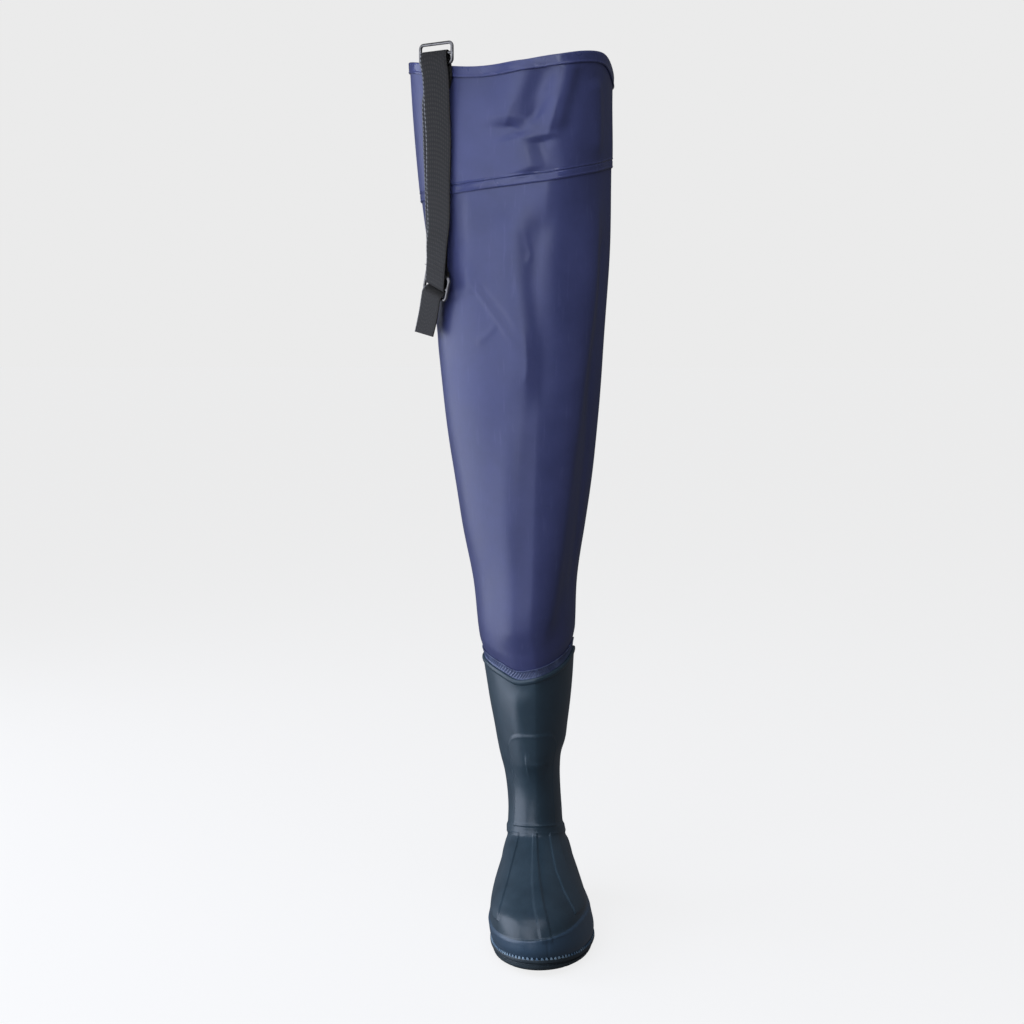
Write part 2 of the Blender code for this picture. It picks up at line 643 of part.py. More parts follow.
def make_hem(material, collection):
    """Folded edge band, a U that hangs over the cuff's top edge."""
    top = collar_level(LEG_U)
    cuff_out = SEAT_GAP + LEG_WALL
    face_in, face_out = cuff_out + SEAT_GAP, cuff_out + SEAT_GAP + LEG_WALL
    seat, crown = SEAT_GAP, SEAT_GAP + LEG_WALL
    outer = [leg_ring(top + rise, LEG_U, lift) for rise, lift in (
        (-HEM_DEPTH, face_out), (seat / 2, face_out), (crown, face_out - HEM_CROWN * LEG_WALL),
        (crown, (HEM_CROWN - 1.0) * LEG_WALL), (seat / 2, -LEG_WALL), (-HEM_DEPTH, -LEG_WALL))]
    inner = [leg_ring(top + rise, LEG_U, lift) for rise, lift in (
        (-HEM_DEPTH, face_in), (seat, face_in), (seat, 0.0), (-HEM_DEPTH, 0.0))]
    return hollow("hem", outer, inner, material, collection)


# Strap and its two metal sliders
def strap_frame(height):
    """Place on the form under the strap, and its side, up and outward directions."""
    lowest = ADJUSTER_LEVEL + max(ADJUSTER_HEIGHT / 2, SEWN_END)
    held = min(max(height, lowest), COLLAR_HEIGHT - HEM_DEPTH)
    v = section_at(held)
    turns = np.linspace(0.02, 1.0, 99)
    across = form_point(v, turns)[:, 0]
    u = float(np.interp(STRAP_PLACE, -across, turns))
    out = Vector(form_normal(v, np.array(u)))
    out.z = 0.0
    out.normalize()
    up = Vector((0.0, 0.0, 1.0))
    place = Vector(form_point(v, u)) + up * (height - held)
    return place, up.cross(out), up, out


def slider_outline(width, height, corner, centre):
    """Points of a rounded rectangle."""
    points = []
    for turn, (sx, sy) in enumerate(((1, 1), (-1, 1), (-1, -1), (1, -1))):
        for step in range(4):
            angle = math.pi / 2 * (turn + step / 3)
            points.append((sx * (width / 2 - corner) + corner * math.cos(angle),
                           centre + sy * (height / 2 - corner) + corner * math.sin(angle)))
    return points


def make_slider(name, height, level, lift, turn, swing, material, collection):
    """Tri-glide of round wire: a frame with a middle bar, lying against the strap."""
    soften = WIRE_SOFTENING * WIRE
    slot = (height - 3 * WIRE) / 2
    flat = bpy.data.curves.new(name, "CURVE")
    flat.dimensions = "2D"
    flat.fill_mode = "BOTH"
    flat.extrude = WIRE / 2 - soften
    flat.bevel_depth = soften
    flat.bevel_resolution = 1
    outlines = [slider_outline(SLOT_WIDTH + 2 * WIRE - 2 * soften, height - 2 * soften,
                               WIRE, 0.0)]
    for side in (-1, 1):
        outlines.append(slider_outline(SLOT_WIDTH + 2 * soften, slot + 2 * soften,
                                       SLOT_CORNER * WIRE, side * (slot + WIRE) / 2))
    for points in outlines:
        spline = flat.splines.new("POLY")
        spline.points.add(len(points) - 1)
        for knot, (x, y) in zip(spline.points, points):
            knot.co = (x, y, 0.0, 1.0)
        spline.use_cyclic_u = True
    drawn = bpy.data.objects.new(name + " outline", flat)
    collection.objects.link(drawn)
    bpy.context.view_layer.update()
    solid = bpy.data.meshes.new_from_object(drawn.evaluated_get(
        bpy.context.evaluated_depsgraph_get()))
    bpy.data.objects.remove(drawn)
    place, side, up, out = strap_frame(level)
    across = side * math.cos(turn) - up * math.sin(turn)
    along = up * math.cos(turn) + side * math.sin(turn)
    matrix = Matrix((across, along, out)).transposed().to_4x4()
    matrix.translation = place + out * lift - side * swing
    shape = bmesh.new()
    shape.from_mesh(solid)
    bmesh.ops.remove_doubles(shape, verts=shape.verts, dist=0.00002)
    bmesh.ops.recalc_face_normals(shape, faces=shape.faces)
    outward(shape)
    shape.transform(matrix)
    shape.to_mesh(solid)
    shape.free()
    solid.name = name
    solid.materials.clear()
    return add_object(name, solid, material, collection)


def fold(centre_height, centre_lift, radius, start, end, steps):
    """Height and lift of points round a bar, by angle from straight out."""
    places = []
    for step in range(steps + 1):
        angle = math.radians(start + (end - start) * step / steps)
        places.append((centre_height + radius * math.sin(angle),
                       centre_lift + radius * math.cos(angle)))
    return places


REAR_LIFT = 2 * SEAT_GAP + LEG_WALL + WEBBING_THICKNESS / 2
HEM_REAR_LIFT = REAR_LIFT + SEAT_GAP + LEG_WALL
WRAP = WIRE / 2 + SEAT_GAP + WEBBING_THICKNESS / 2
LAYER = WEBBING_THICKNESS + SEAT_GAP
RING_LIFT = HEM_REAR_LIFT + WRAP
ADJUSTER_LIFT = REAR_LIFT + LAYER + WRAP
BAR_PITCH = (ADJUSTER_HEIGHT - WIRE) / 2
FOLD_STEPS, RUN_ROWS = 6, 6

# Webbing near the adjuster, by bar pitches above its middle bar: lift in wraps outside the
# bar's centre, and share of the adjuster's turn. It leaves upwards from the sewn end, and
# passes down and out through the lower slot.
THREADING_COLUMNS = ("pitches", "wraps", "turn")
LEAVING_ROWS = ((2.00, 1.00, 0.90), (3.40, 0.50, 0.40))
PASSING_ROWS = ((-0.33, -1.27, 1.00), (-0.56, -0.10, 1.00), (-0.76, 0.75, 1.00),
                (-1.00, 1.05, 1.00), (-1.35, 0.90, 1.00))
REAR_TURN_ROWS = ((1.40, 0.40), (0.20, 1.00))
TAIL_MIDDLE = (0.30, 0.85)
TAIL_TURN = 0.50

# The free run of two layers, with its ends in bar pitches and ring heights from the sliders,
# and how far the front layer stands off the rear one, in layers.
RUN_START, RUN_STOP = 5.0, 3.2
FRONT_STAND_OFF, LOW_STAND_OFF, HIGH_STAND_OFF = 1.2, 1.6, 1.5
RING_APPROACH, RING_APPROACH_SHARE = 1.9, 0.65
HEM_DESCENT = (0.3, 1.0)


def threaded(rows):
    """Height, lift and turn share of the webbing's rows at the adjuster."""
    return [(ADJUSTER_LEVEL + row["pitches"] * BAR_PITCH, ADJUSTER_LIFT + row["wraps"] * WRAP,
             row["turn"]) for row in table(THREADING_COLUMNS, rows)]


def strap_path():
    """Height, lift and share of the adjuster's turn along the webbing, from its sewn end."""
    adjuster, ring = ADJUSTER_LEVEL, RING_LEVEL
    hem_foot = COLLAR_HEIGHT - HEM_DEPTH
    low_run, high_run = adjuster + RUN_START * BAR_PITCH, ring - RUN_STOP * RING_HEIGHT
    runs = [low_run + (high_run - low_run) * step / RUN_ROWS for step in range(1, RUN_ROWS)]
    front, ring_front = REAR_LIFT + FRONT_STAND_OFF * LAYER, RING_LIFT + WRAP
    path = [(adjuster + SEWN_END, ADJUSTER_LIFT - WRAP, 1.0)]
    path += [(height, lift, 1.0) for height, lift in
             fold(adjuster, ADJUSTER_LIFT, WRAP, -180, 0, FOLD_STEPS)]
    path += threaded(LEAVING_ROWS)
    path.append((low_run, REAR_LIFT + LOW_STAND_OFF * LAYER, 0.0))
    path += [(height, front, 0.0) for height in runs]
    path += [(high_run, REAR_LIFT + HIGH_STAND_OFF * LAYER, 0.0),
             (ring - RING_APPROACH * RING_HEIGHT,
              front + RING_APPROACH_SHARE * (ring_front - front), 0.0),
             (ring - RING_HEIGHT, ring_front, 0.0)]
    path += [(height, lift, 0.0) for height, lift in
             fold(ring, RING_LIFT, WRAP, 0, 180, FOLD_STEPS)]
    path += [(hem_foot - HEM_DESCENT[0] * RING_HEIGHT, HEM_REAR_LIFT, 0.0),
             (hem_foot - HEM_DESCENT[1] * RING_HEIGHT, REAR_LIFT, 0.0),
             (high_run, REAR_LIFT, 0.0)]
    path += [(height, REAR_LIFT, 0.0) for height in runs[::-1]]
    path.append((low_run, REAR_LIFT, 0.0))
    path += [(adjuster + pitches * BAR_PITCH, REAR_LIFT, turn)
             for pitches, turn in REAR_TURN_ROWS]
    path += threaded(PASSING_ROWS)
    path += [(adjuster - (BAR_PITCH + TAIL_LENGTH) / 2, ADJUSTER_LIFT + TAIL_MIDDLE[0] * WRAP,
              TAIL_MIDDLE[1]),
             (adjuster - TAIL_LENGTH, ADJUSTER_LIFT, TAIL_TURN)]
    return path


def make_strap(material, collection):
    """One length of webbing: sewn round the adjuster, over the ring, back down to its tail."""
    centres, sides = [], []
    for height, lift, share in strap_path():
        turn = ADJUSTER_TURN * share
        place, side, up, out = strap_frame(height)
        centre = place + out * lift - side * ADJUSTER_SWING * share
        if height < ADJUSTER_LEVEL:
            swing = ADJUSTER_SWING * (1.0 - share)
            centre -= side * (math.tan(ADJUSTER_TURN) * (ADJUSTER_LEVEL - height) + swing)
        centres.append(centre)
        sides.append(side * math.cos(turn) - up * math.sin(turn))
    shape = bmesh.new()
    rows = []
    for step, (centre, side) in enumerate(zip(centres, sides)):
        after, before = centres[min(step + 1, len(centres) - 1)], centres[max(step - 1, 0)]
        along = after - before
        along = (along - side * along.dot(side)).normalized()
        face = side.cross(along)
        rows.append([shape.verts.new(centre + side * (sx * WEBBING_WIDTH / 2)
                                     + face * (sy * WEBBING_THICKNESS / 2))
                     for sx, sy in ((-1, -1), (1, -1), (1, 1), (-1, 1))])
    for low, high in zip(rows, rows[1:]):
        for left in range(4):
            right = (left + 1) % 4
            shape.faces.new((low[left], low[right], high[right], high[left]))
    shape.faces.new(rows[0])
    shape.faces.new(rows[-1])
    bmesh.ops.recalc_face_normals(shape, faces=shape.faces)
    outward(shape)
    mesh = bpy.data.meshes.new("strap")
    shape.to_mesh(mesh)
    shape.free()
    return add_object("strap", mesh, material, collection)


def new_collection(name):
    collection = bpy.data.collections.new(name)
    bpy.context.scene.collection.children.link(collection)
    return collection


def build():
    for thing in list(bpy.data.objects):
        bpy.data.objects.remove(thing, do_unlink=True)
    wader, cutters = new_collection("hip wader"), new_collection("cutters")
    tread = add_material("moulded tread rubber", (0.020, 0.030, 0.030), 0.55)
    boot = add_material("moulded boot plastic", (0.022, 0.040, 0.050), 0.35)
    fabric = add_material("coated leg fabric", (0.085, 0.095, 0.220), 0.40)
    weld = add_material("weld band", (0.030, 0.040, 0.080), 0.50)
    lining = add_material("insole felt", (0.180, 0.180, 0.180), 0.90)
    webbing = add_material("woven webbing", (0.040, 0.040, 0.042), 0.80)
    steel = add_material("gunmetal wire", (0.160, 0.150, 0.155), 0.35, 0.9)
    make_outsole(tread, wader, cutters)
    make_insole(lining, wader)
    make_boot_upper(boot, wader)
    make_weld_band(weld, wader)
    make_leg_tube(fabric, wader)
    make_cuff(fabric, wader)
    make_hem(fabric, wader)
    make_slider("belt_ring", RING_HEIGHT, RING_LEVEL, RING_LIFT, 0.0, 0.0, steel, wader)
    make_slider("adjuster", ADJUSTER_HEIGHT, ADJUSTER_LEVEL, ADJUSTER_LIFT, ADJUSTER_TURN,
                ADJUSTER_SWING, steel, wader)
    make_strap(webbing, wader)


build()
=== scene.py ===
"""Looks of the hip wader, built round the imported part.

Metres, +Z up, the toe to -Y and the medial side +X, as in the part. The fine pieces are
wrapped round the same form as the solids: a stack of closed sections from the sole's feather
line to the collar. A place on the form is a section count v and a count of quarter turns u,
from the front by the lateral side. Creases, seams, ribs and edges are lifts along its normal.
"""

import math

import bpy
import numpy as np
from mathutils import Matrix, Vector


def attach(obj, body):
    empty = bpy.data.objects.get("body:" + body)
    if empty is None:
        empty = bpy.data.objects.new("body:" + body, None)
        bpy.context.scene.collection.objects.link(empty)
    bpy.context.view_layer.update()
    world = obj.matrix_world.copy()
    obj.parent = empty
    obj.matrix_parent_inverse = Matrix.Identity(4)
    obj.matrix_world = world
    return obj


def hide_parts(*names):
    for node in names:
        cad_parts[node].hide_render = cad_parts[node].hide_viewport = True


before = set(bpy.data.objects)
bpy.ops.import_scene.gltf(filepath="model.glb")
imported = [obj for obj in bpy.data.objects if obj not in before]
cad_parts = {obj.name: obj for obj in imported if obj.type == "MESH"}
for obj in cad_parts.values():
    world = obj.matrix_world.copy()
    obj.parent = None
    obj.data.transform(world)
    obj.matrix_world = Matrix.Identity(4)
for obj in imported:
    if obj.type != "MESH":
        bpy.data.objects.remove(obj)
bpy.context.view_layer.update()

MM = 0.001

# Sizes that the pieces share with the solids
SEAT_GAP = 0.3 * MM
TUCK_GAP = 0.6 * MM
SOLE_LENGTH = 298 * MM
BALL_WIDTH = 112 * MM
HEEL_BACK = 42 * MM
FOREFOOT_THICKNESS = 12.5 * MM
HEEL_THICKNESS = 27 * MM
TOE_SPRING = 7 * MM
INFLARE = 11 * MM
WELT_WIDTH = 3.5 * MM
SIDE_STEP = 3 * MM
ARCH_RISE = 6 * MM
ARCH_LENGTH = 46 * MM
LUG_DEPTH = 3.5 * MM
LUG_GROOVE = 5 * MM
LUG_PITCH = 22 * MM
FOREFOOT_GROOVES = 6
HEEL_GROOVES = 2
SPRING_START = 0.72
FALL_START, FALL_END = 0.20, 0.54
SWING_START, SWING_END = 0.12, 0.66
ARCH_CENTRE = 0.357
FIRST_GROOVE = 0.547
ARCH_SLOPE = 0.75

INSTEP_HEIGHT = 107 * MM
SHAFT_HEIGHT = 290 * MM
SHAFT_WIDTH = 104 * MM
SHAFT_DEPTH = 153 * MM
BOOT_WALL = 2.4 * MM
RAND_STEP = 1.6 * MM
STRIP_STEP = 1.3 * MM
BAND_STEP = 1.4 * MM
PANEL_STEP = 1.0 * MM
PANEL_TOP = SHAFT_HEIGHT - 76 * MM
RIM_STEP = 1.0 * MM
RIM_HEIGHT = 6 * MM

COLLAR_HEIGHT = 941 * MM
THIGH_WIDTH = 221 * MM
THIGH_DEPTH = 190 * MM
LEG_WALL = 1.0 * MM
TUCK_DEPTH = 12 * MM
RELEASE_RISE = 25 * MM
WELD_BAND_HEIGHT = 9 * MM
WELD_BAND_WALL = 1.2 * MM
SEAM_HEIGHT = COLLAR_HEIGHT - 133 * MM
LAP_DEPTH = 12 * MM
HEM_DEPTH = 11.5 * MM

WEBBING_WIDTH = 38 * MM
WEBBING_THICKNESS = 1.5 * MM
SLOT_WIDTH = WEBBING_WIDTH + 3 * MM
STRAP_PLACE = 105 * MM
WIRE = 3.5 * MM
RING_HEIGHT = 25 * MM
RING_LEVEL = COLLAR_HEIGHT + 8 * MM
ADJUSTER_HEIGHT = 28 * MM
ADJUSTER_LEVEL = COLLAR_HEIGHT - 236 * MM
ADJUSTER_TURN = math.radians(18.5)
ADJUSTER_SWING = -2.0 * MM
RING_SWING = -2.0 * MM
TAIL_LENGTH = 54 * MM
SEWN_END = 18 * MM

# Foot sections: reaches are shares of the sole's length from the heel's back, rises are shares
# of the instep height, half widths are shares of the ball width.
FOOT_COLUMNS = ("name", "front_reach", "front_rise", "back_reach", "back_rise", "widest",
                "lateral", "medial", "nose", "tail", "taper", "waist", "follow")
FOOT_ROWS = (
    ("feather",   0.988, 0.000,  0.012, 0.000, 0.640, 0.468, 0.468, 1.88, 4.2, 0.26, 0.10, 1.00),
    ("rand low",  0.996, 0.060,  0.002, 0.060, 0.640, 0.487, 0.478, 1.90, 4.1, 0.24, 0.08, 1.00),
    ("rand top",  0.988, 0.190, -0.004, 0.125, 0.630, 0.492, 0.466, 2.02, 3.8, 0.22, 0.06, 0.90),
    ("toe bend",  0.958, 0.330, -0.006, 0.185, 0.610, 0.476, 0.446, 2.20, 3.4, 0.20, 0.05, 0.75),
    ("toe top",   0.896, 0.430, -0.006, 0.240, 0.580, 0.434, 0.418, 2.18, 3.0, 0.18, 0.04, 0.60),
    ("vamp fore", 0.815, 0.505, -0.004, 0.290, 0.555, 0.396, 0.386, 2.18, 2.7, 0.15, 0.03, 0.50),
    ("vamp mid",  0.725, 0.572,  0.000, 0.335, 0.530, 0.366, 0.354, 2.15, 2.5, 0.12, 0.02, 0.40),
    ("vamp high", 0.635, 0.630,  0.006, 0.375, 0.515, 0.350, 0.334, 2.10, 2.35, 0.09, 0.01, 0.30),
    ("instep",    0.540, 0.690,  0.013, 0.410, 0.505, 0.332, 0.310, 2.10, 2.2, 0.05, 0.00, 0.20),
    ("band low",  0.411, 0.762,  0.020, 0.440, 0.500, 0.312, 0.266, 2.05, 2.1, 0.02, 0.00, 0.00),
)

# Shaft sections: rises are shares of the way from the instep height to the boot's top, front
# and back are shares of the shaft's depth, half widths are shares of its width.
SHAFT_COLUMNS = ("name", "front_rise", "back_rise", "front", "back", "lateral", "medial",
                 "front_crease", "back_crease")
SHAFT_ROWS = (
    ("band top",   0.000, -0.125, 0.510, 0.235, 0.336, 0.268, 2.00, 2.1),
    ("ankle",      0.095,  0.005, 0.488, 0.218, 0.331, 0.252, 1.90, 2.0),
    ("narrow",     0.195,  0.152, 0.480, 0.218, 0.345, 0.237, 1.75, 1.9),
    ("low shin",   0.295,  0.285, 0.496, 0.236, 0.375, 0.232, 1.70, 1.9),
    ("shin",       0.390,  0.390, 0.516, 0.262, 0.420, 0.246, 1.65, 1.9),
    ("mid shin",   0.480,  0.480, 0.538, 0.288, 0.452, 0.292, 1.62, 1.9),
    ("calf low",   0.585,  0.585, 0.562, 0.314, 0.484, 0.316, 1.60, 1.9),
    ("calf",       0.725,  0.725, 0.588, 0.340, 0.530, 0.346, 1.60, 1.9),
    ("calf high",  0.865,  0.865, 0.610, 0.360, 0.568, 0.368, 1.60, 1.9),
    ("boot top",   1.000,  1.000, 0.626, 0.374, 0.604, 0.382, 1.60, 1.9),
)

# Leg sections: rises are shares of the way from the boot's top to the collar, the rest are
# shares of the thigh's depth and width. The crease place is the front fold's own offset.
LEG_COLUMNS = ("name", "rise", "front", "back", "lateral", "medial", "crease_place",
               "front_crease", "back_crease")
LEG_ROWS = (
    ("above boot", 0.050, 0.516, 0.308, 0.304, 0.186, -0.020, 1.55, 1.8),
    ("low leg",    0.130, 0.526, 0.318, 0.329, 0.193, -0.012, 1.50, 1.7),
    ("below knee", 0.234, 0.540, 0.334, 0.394, 0.233, -0.005, 1.50, 1.7),
    ("knee",       0.340, 0.550, 0.350, 0.440, 0.272,  0.005, 1.50, 1.7),
    ("above knee", 0.495, 0.560, 0.374, 0.492, 0.312,  0.020, 1.50, 1.7),
    ("mid thigh",  0.650, 0.566, 0.396, 0.540, 0.340,  0.035, 1.50, 1.7),
    ("seam",       0.798, 0.566, 0.416, 0.593, 0.353,  0.060, 1.50, 1.7),
    ("upper cuff", 0.920, 0.562, 0.430, 0.624, 0.360,  0.090, 1.52, 1.7),
    ("collar",     1.000, 0.558, 0.440, 0.638, 0.368,  0.110, 1.55, 1.7),
    ("over edge",  1.040, 0.557, 0.444, 0.644, 0.371,  0.115, 1.55, 1.7),
)

# Edge lines round the leg: quarter turns from the front and the rise there, in millimetres
EDGE_COLUMNS = ("turn", "rise")
BOOT_TOP_LINE = ((0.0, -12.5), (0.19, -16.0), (0.45, -8.5), (1.0, 1.0), (1.5, -2.0),
                 (2.0, -6.0), (2.5, 0.0), (3.0, 10.0), (3.5, -1.0))
SEAM_LINE = ((0.0, 4.0), (0.5, -5.0), (1.0, -12.0), (1.5, -6.0), (2.0, 3.0), (2.5, 15.0),
             (3.0, 25.0), (3.5, 15.0))
COLLAR_LINE = ((0.0, 1.0), (0.4, -8.0), (1.0, 7.0), (1.5, 6.0), (2.0, 3.0), (2.5, -3.0),
               (3.0, -9.0), (3.45, 7.5), (3.75, 6.0))
# Top line of the rand, in section counts
RAND_TOP_LINE = ((0.0, 1.95), (0.5, 1.87), (1.0, 1.92), (2.0, 2.00), (3.0, 2.55), (3.5, 2.58),
                 (3.75, 2.26))

# Side of the sole from the tread to the welt: inset as a share of the side step, height as a
# share of the sole's local thickness.
SOLE_EDGE_COLUMNS = ("name", "inset", "height")
SOLE_EDGE_ROWS = (
    ("tread corner", 2.10, 0.00),
    ("tread side",   0.90, 0.16),
    ("tread top",    0.55, 0.44),
    ("recess low",   1.00, 0.49),
    ("recess high",  0.95, 0.61),
    ("welt low",     0.00, 0.68),
    ("welt side",    0.00, 0.92),
    ("welt top",     0.30, 1.00),
)

# Points a quarter turn of a section, and quarter turns round it
DENSE = 120
QUARTERS = 4
# Steps up and round the form over which its normals are taken
NORMAL_UP, NORMAL_ROUND = 0.05, 0.03


def ease(share):
    """Smooth step from 0 to 1."""
    share = np.clip(share, 0.0, 1.0)
    return share * share * (3.0 - 2.0 * share)


def table(columns, rows):
    """Rows of a table as dictionaries with named columns."""
    return [dict(zip(columns, row)) for row in rows]


def curve_between(t, run, start, start_slope, end, end_slope):
    """Smooth cubic over a run from start to end, with t from 0 to 1 along it."""
    return ((2 * t**3 - 3 * t**2 + 1) * start + (t**3 - 2 * t**2 + t) * run * start_slope
            + (3 * t**2 - 2 * t**3) * end + (t**3 - t**2) * run * end_slope)


def swell(away, reach):
    """1 on a line and fading out on both sides of it."""
    return np.exp(-(away / reach) ** 2)


def toe_spring(reach):
    return TOE_SPRING * np.clip((reach - SPRING_START) / (1.0 - SPRING_START), 0.0, None) ** 2


def sole_top(y):
    reach = (HEEL_BACK - np.asarray(y)) / SOLE_LENGTH
    fall = ease((reach - FALL_START) / (FALL_END - FALL_START))
    return HEEL_THICKNESS + (FOREFOOT_THICKNESS - HEEL_THICKNESS) * fall + toe_spring(reach)


def sole_bottom(y):
    return toe_spring((HEEL_BACK - np.asarray(y)) / SOLE_LENGTH)


def inflare(y):
    reach = (HEEL_BACK - np.asarray(y)) / SOLE_LENGTH
    return INFLARE * ease((reach - SWING_START) / (SWING_END - SWING_START))


def quarter(half_width, length, width_power, length_power, taper, waist):
    """Quarter outline from its widest place to its end, evenly spaced along the curve."""
    turn = np.linspace(0.0, math.pi / 2, 961)
    along = np.sin(turn) ** (2.0 / length_power)
    across = np.maximum(np.cos(turn), 0.0) ** (2.0 / width_power)
    narrowing = 1.0 - taper * ease(along) - waist * np.sin(math.pi * along) ** 2
    x, y = half_width * across * narrowing, length * along
    run = np.concatenate(([0.0], np.cumsum(np.hypot(np.diff(x), np.diff(y)))))
    even = np.linspace(0.0, run[-1], DENSE + 1)
    return np.interp(even, run, x), np.interp(even, run, y)


def outline(front, back, widest, lateral, medial, front_powers, back_powers,
            taper=0.0, waist=0.0, crease_place=0.0):
    """Closed outline from the front by the lateral side, with DENSE points a quarter turn."""
    middle = back + widest * (front - back)
    xs, ys = [], []
    for side, half in ((-1.0, lateral), (1.0, medial)):
        fx, fy = quarter(half, middle - front, *front_powers, 0.0, 0.0)
        side_waist = waist if side > 0 else 0.4 * waist
        bx, by = quarter(half, back - middle, *back_powers, taper, side_waist)
        slide = crease_place * (fy / (middle - front)) ** 2
        fx, fy = side * fx + slide, middle - fy
        bx, by = side * bx, middle + by
        if side < 0:
            xs += [fx[::-1][:-1], bx[:-1]]
            ys += [fy[::-1][:-1], by[:-1]]
        else:
            xs += [bx[::-1][:-1], fx[:-1]]
            ys += [by[::-1][:-1], fy[:-1]]
    return np.concatenate(xs), np.concatenate(ys)


def foot_section(row):
    front = HEEL_BACK - row["front_reach"] * SOLE_LENGTH
    back = HEEL_BACK - row["back_reach"] * SOLE_LENGTH
    nose, tail = (row["nose"], row["nose"]), (row["tail"], row["tail"])
    x, y = outline(front, back, row["widest"], row["lateral"] * BALL_WIDTH,
                   row["medial"] * BALL_WIDTH, nose, tail, row["taper"], row["waist"])
    share = (back - y) / (back - front)
    floor = sole_top(back) + (sole_top(front) - sole_top(back)) * share
    rise = row["back_rise"] + (row["front_rise"] - row["back_rise"]) * share
    z = floor + rise * INSTEP_HEIGHT + row["follow"] * (sole_top(y) - floor) + SEAT_GAP
    return np.stack((x + row["follow"] * inflare(y), y, z), axis=1)


def shaft_section(row):
    front, back = -row["front"] * SHAFT_DEPTH, row["back"] * SHAFT_DEPTH
    x, y = outline(front, back, 0.50, row["lateral"] * SHAFT_WIDTH, row["medial"] * SHAFT_WIDTH,
                   (row["front_crease"], 2.0), (row["back_crease"], 2.0))
    share = (back - y) / (back - front)
    rise = row["back_rise"] + (row["front_rise"] - row["back_rise"]) * share
    z = INSTEP_HEIGHT + rise * (SHAFT_HEIGHT - INSTEP_HEIGHT)
    return np.stack((x, y, z), axis=1)


def leg_section(row):
    front, back = -row["front"] * THIGH_DEPTH, row["back"] * THIGH_DEPTH
    x, y = outline(front, back, 0.50, row["lateral"] * THIGH_WIDTH, row["medial"] * THIGH_WIDTH,
                   (row["front_crease"], 2.0), (row["back_crease"], 2.0),
                   crease_place=row["crease_place"] * THIGH_WIDTH)
    z = np.full_like(x, SHAFT_HEIGHT + row["rise"] * (COLLAR_HEIGHT - SHAFT_HEIGHT))
    return np.stack((x, y, z), axis=1)


FOOT = table(FOOT_COLUMNS, FOOT_ROWS)
SHAFT = table(SHAFT_COLUMNS, SHAFT_ROWS)
LEG = table(LEG_COLUMNS, LEG_ROWS)
ROW_NAMES = [row["name"] for row in FOOT + SHAFT + LEG]
SECTIONS = np.array([foot_section(row) for row in FOOT] + [shaft_section(row) for row in SHAFT]
                    + [leg_section(row) for row in LEG])
SPACING = np.linalg.norm(np.diff(SECTIONS, axis=0), axis=2).mean(axis=1)
LEVELS = SECTIONS[:, :, 2].mean(axis=1)


def section_slopes():
    """Slope of the form across its sections, for an even curve through uneven spacing."""
    steps = np.diff(SECTIONS, axis=0) / SPACING[:, None, None]
    slopes = np.empty_like(SECTIONS)
    slopes[0], slopes[-1] = steps[0], steps[-1]
    before, after = SPACING[:-1, None, None], SPACING[1:, None, None]
    slopes[1:-1] = (steps[:-1] * after + steps[1:] * before) / (before + after)
    return slopes


SLOPES = section_slopes()


def form_point(v, u):
    """Points on the form."""
    v, u = np.broadcast_arrays(np.asarray(v, float), np.asarray(u, float))
    low = np.clip(np.floor(v).astype(int), 0, len(SECTIONS) - 2)
    t = (v - low)[..., None]
    column = (u % QUARTERS) * DENSE
    left = np.floor(column).astype(int)
    part = (column - left)[..., None]
    left, right = left % (QUARTERS * DENSE), (left + 1) % (QUARTERS * DENSE)
    run = SPACING[low][..., None]

    def across(grid, row):
        return grid[row, left] * (1.0 - part) + grid[row, right] * part

    return curve_between(t, run, across(SECTIONS, low), across(SLOPES, low),
                         across(SECTIONS, low + 1), across(SLOPES, low + 1))


def form_normal(v, u):
    """Outward unit normals of the form."""
    top = len(SECTIONS) - 1
    above, below = np.minimum(v + NORMAL_UP, top), np.maximum(v - NORMAL_UP, 0.0)
    up = form_point(above, u) - form_point(below, u)
    round_way = form_point(v, u + NORMAL_ROUND) - form_point(v, u - NORMAL_ROUND)
    normal = np.cross(up, round_way)
    return normal / np.linalg.norm(normal, axis=-1, keepdims=True)


def raised(v, u, lift):
    """Points on the form, lifted along its normal."""
    v, u = np.broadcast_arrays(np.asarray(v, float), np.asarray(u, float))
    lift = np.broadcast_to(np.asarray(lift, float), v.shape)
    return form_point(v, u) + form_normal(v, u) * lift[..., None]


def section_at(height):
    """Section count v at a height on the shaft or the leg."""
    first = ROW_NAMES.index("shin")
    return np.interp(height, LEVELS[first:], np.arange(first, len(SECTIONS)))


def smooth_line(rows, u):
    """Smooth closed curve through rows of quarter turns and values."""
    named = table(EDGE_COLUMNS, rows)
    turns = np.array([row["turn"] for row in named])
    rises = np.array([row["rise"] for row in named])
    turns = np.concatenate((turns - QUARTERS, turns, turns + QUARTERS))
    rises = np.tile(rises, 3)
    slopes = np.gradient(rises, turns)
    u = np.asarray(u, float) % QUARTERS
    low = np.clip(np.searchsorted(turns, u, side="right") - 1, 0, len(turns) - 2)
    run = turns[low + 1] - turns[low]
    t = (u - turns[low]) / run
    return curve_between(t, run, rises[low], slopes[low], rises[low + 1], slopes[low + 1])


def boot_top(u):
    return SHAFT_HEIGHT + smooth_line(BOOT_TOP_LINE, u) * MM


def seam_level(u):
    return SEAM_HEIGHT + smooth_line(SEAM_LINE, u) * MM


def collar_level(u):
    return COLLAR_HEIGHT + smooth_line(COLLAR_LINE, u) * MM


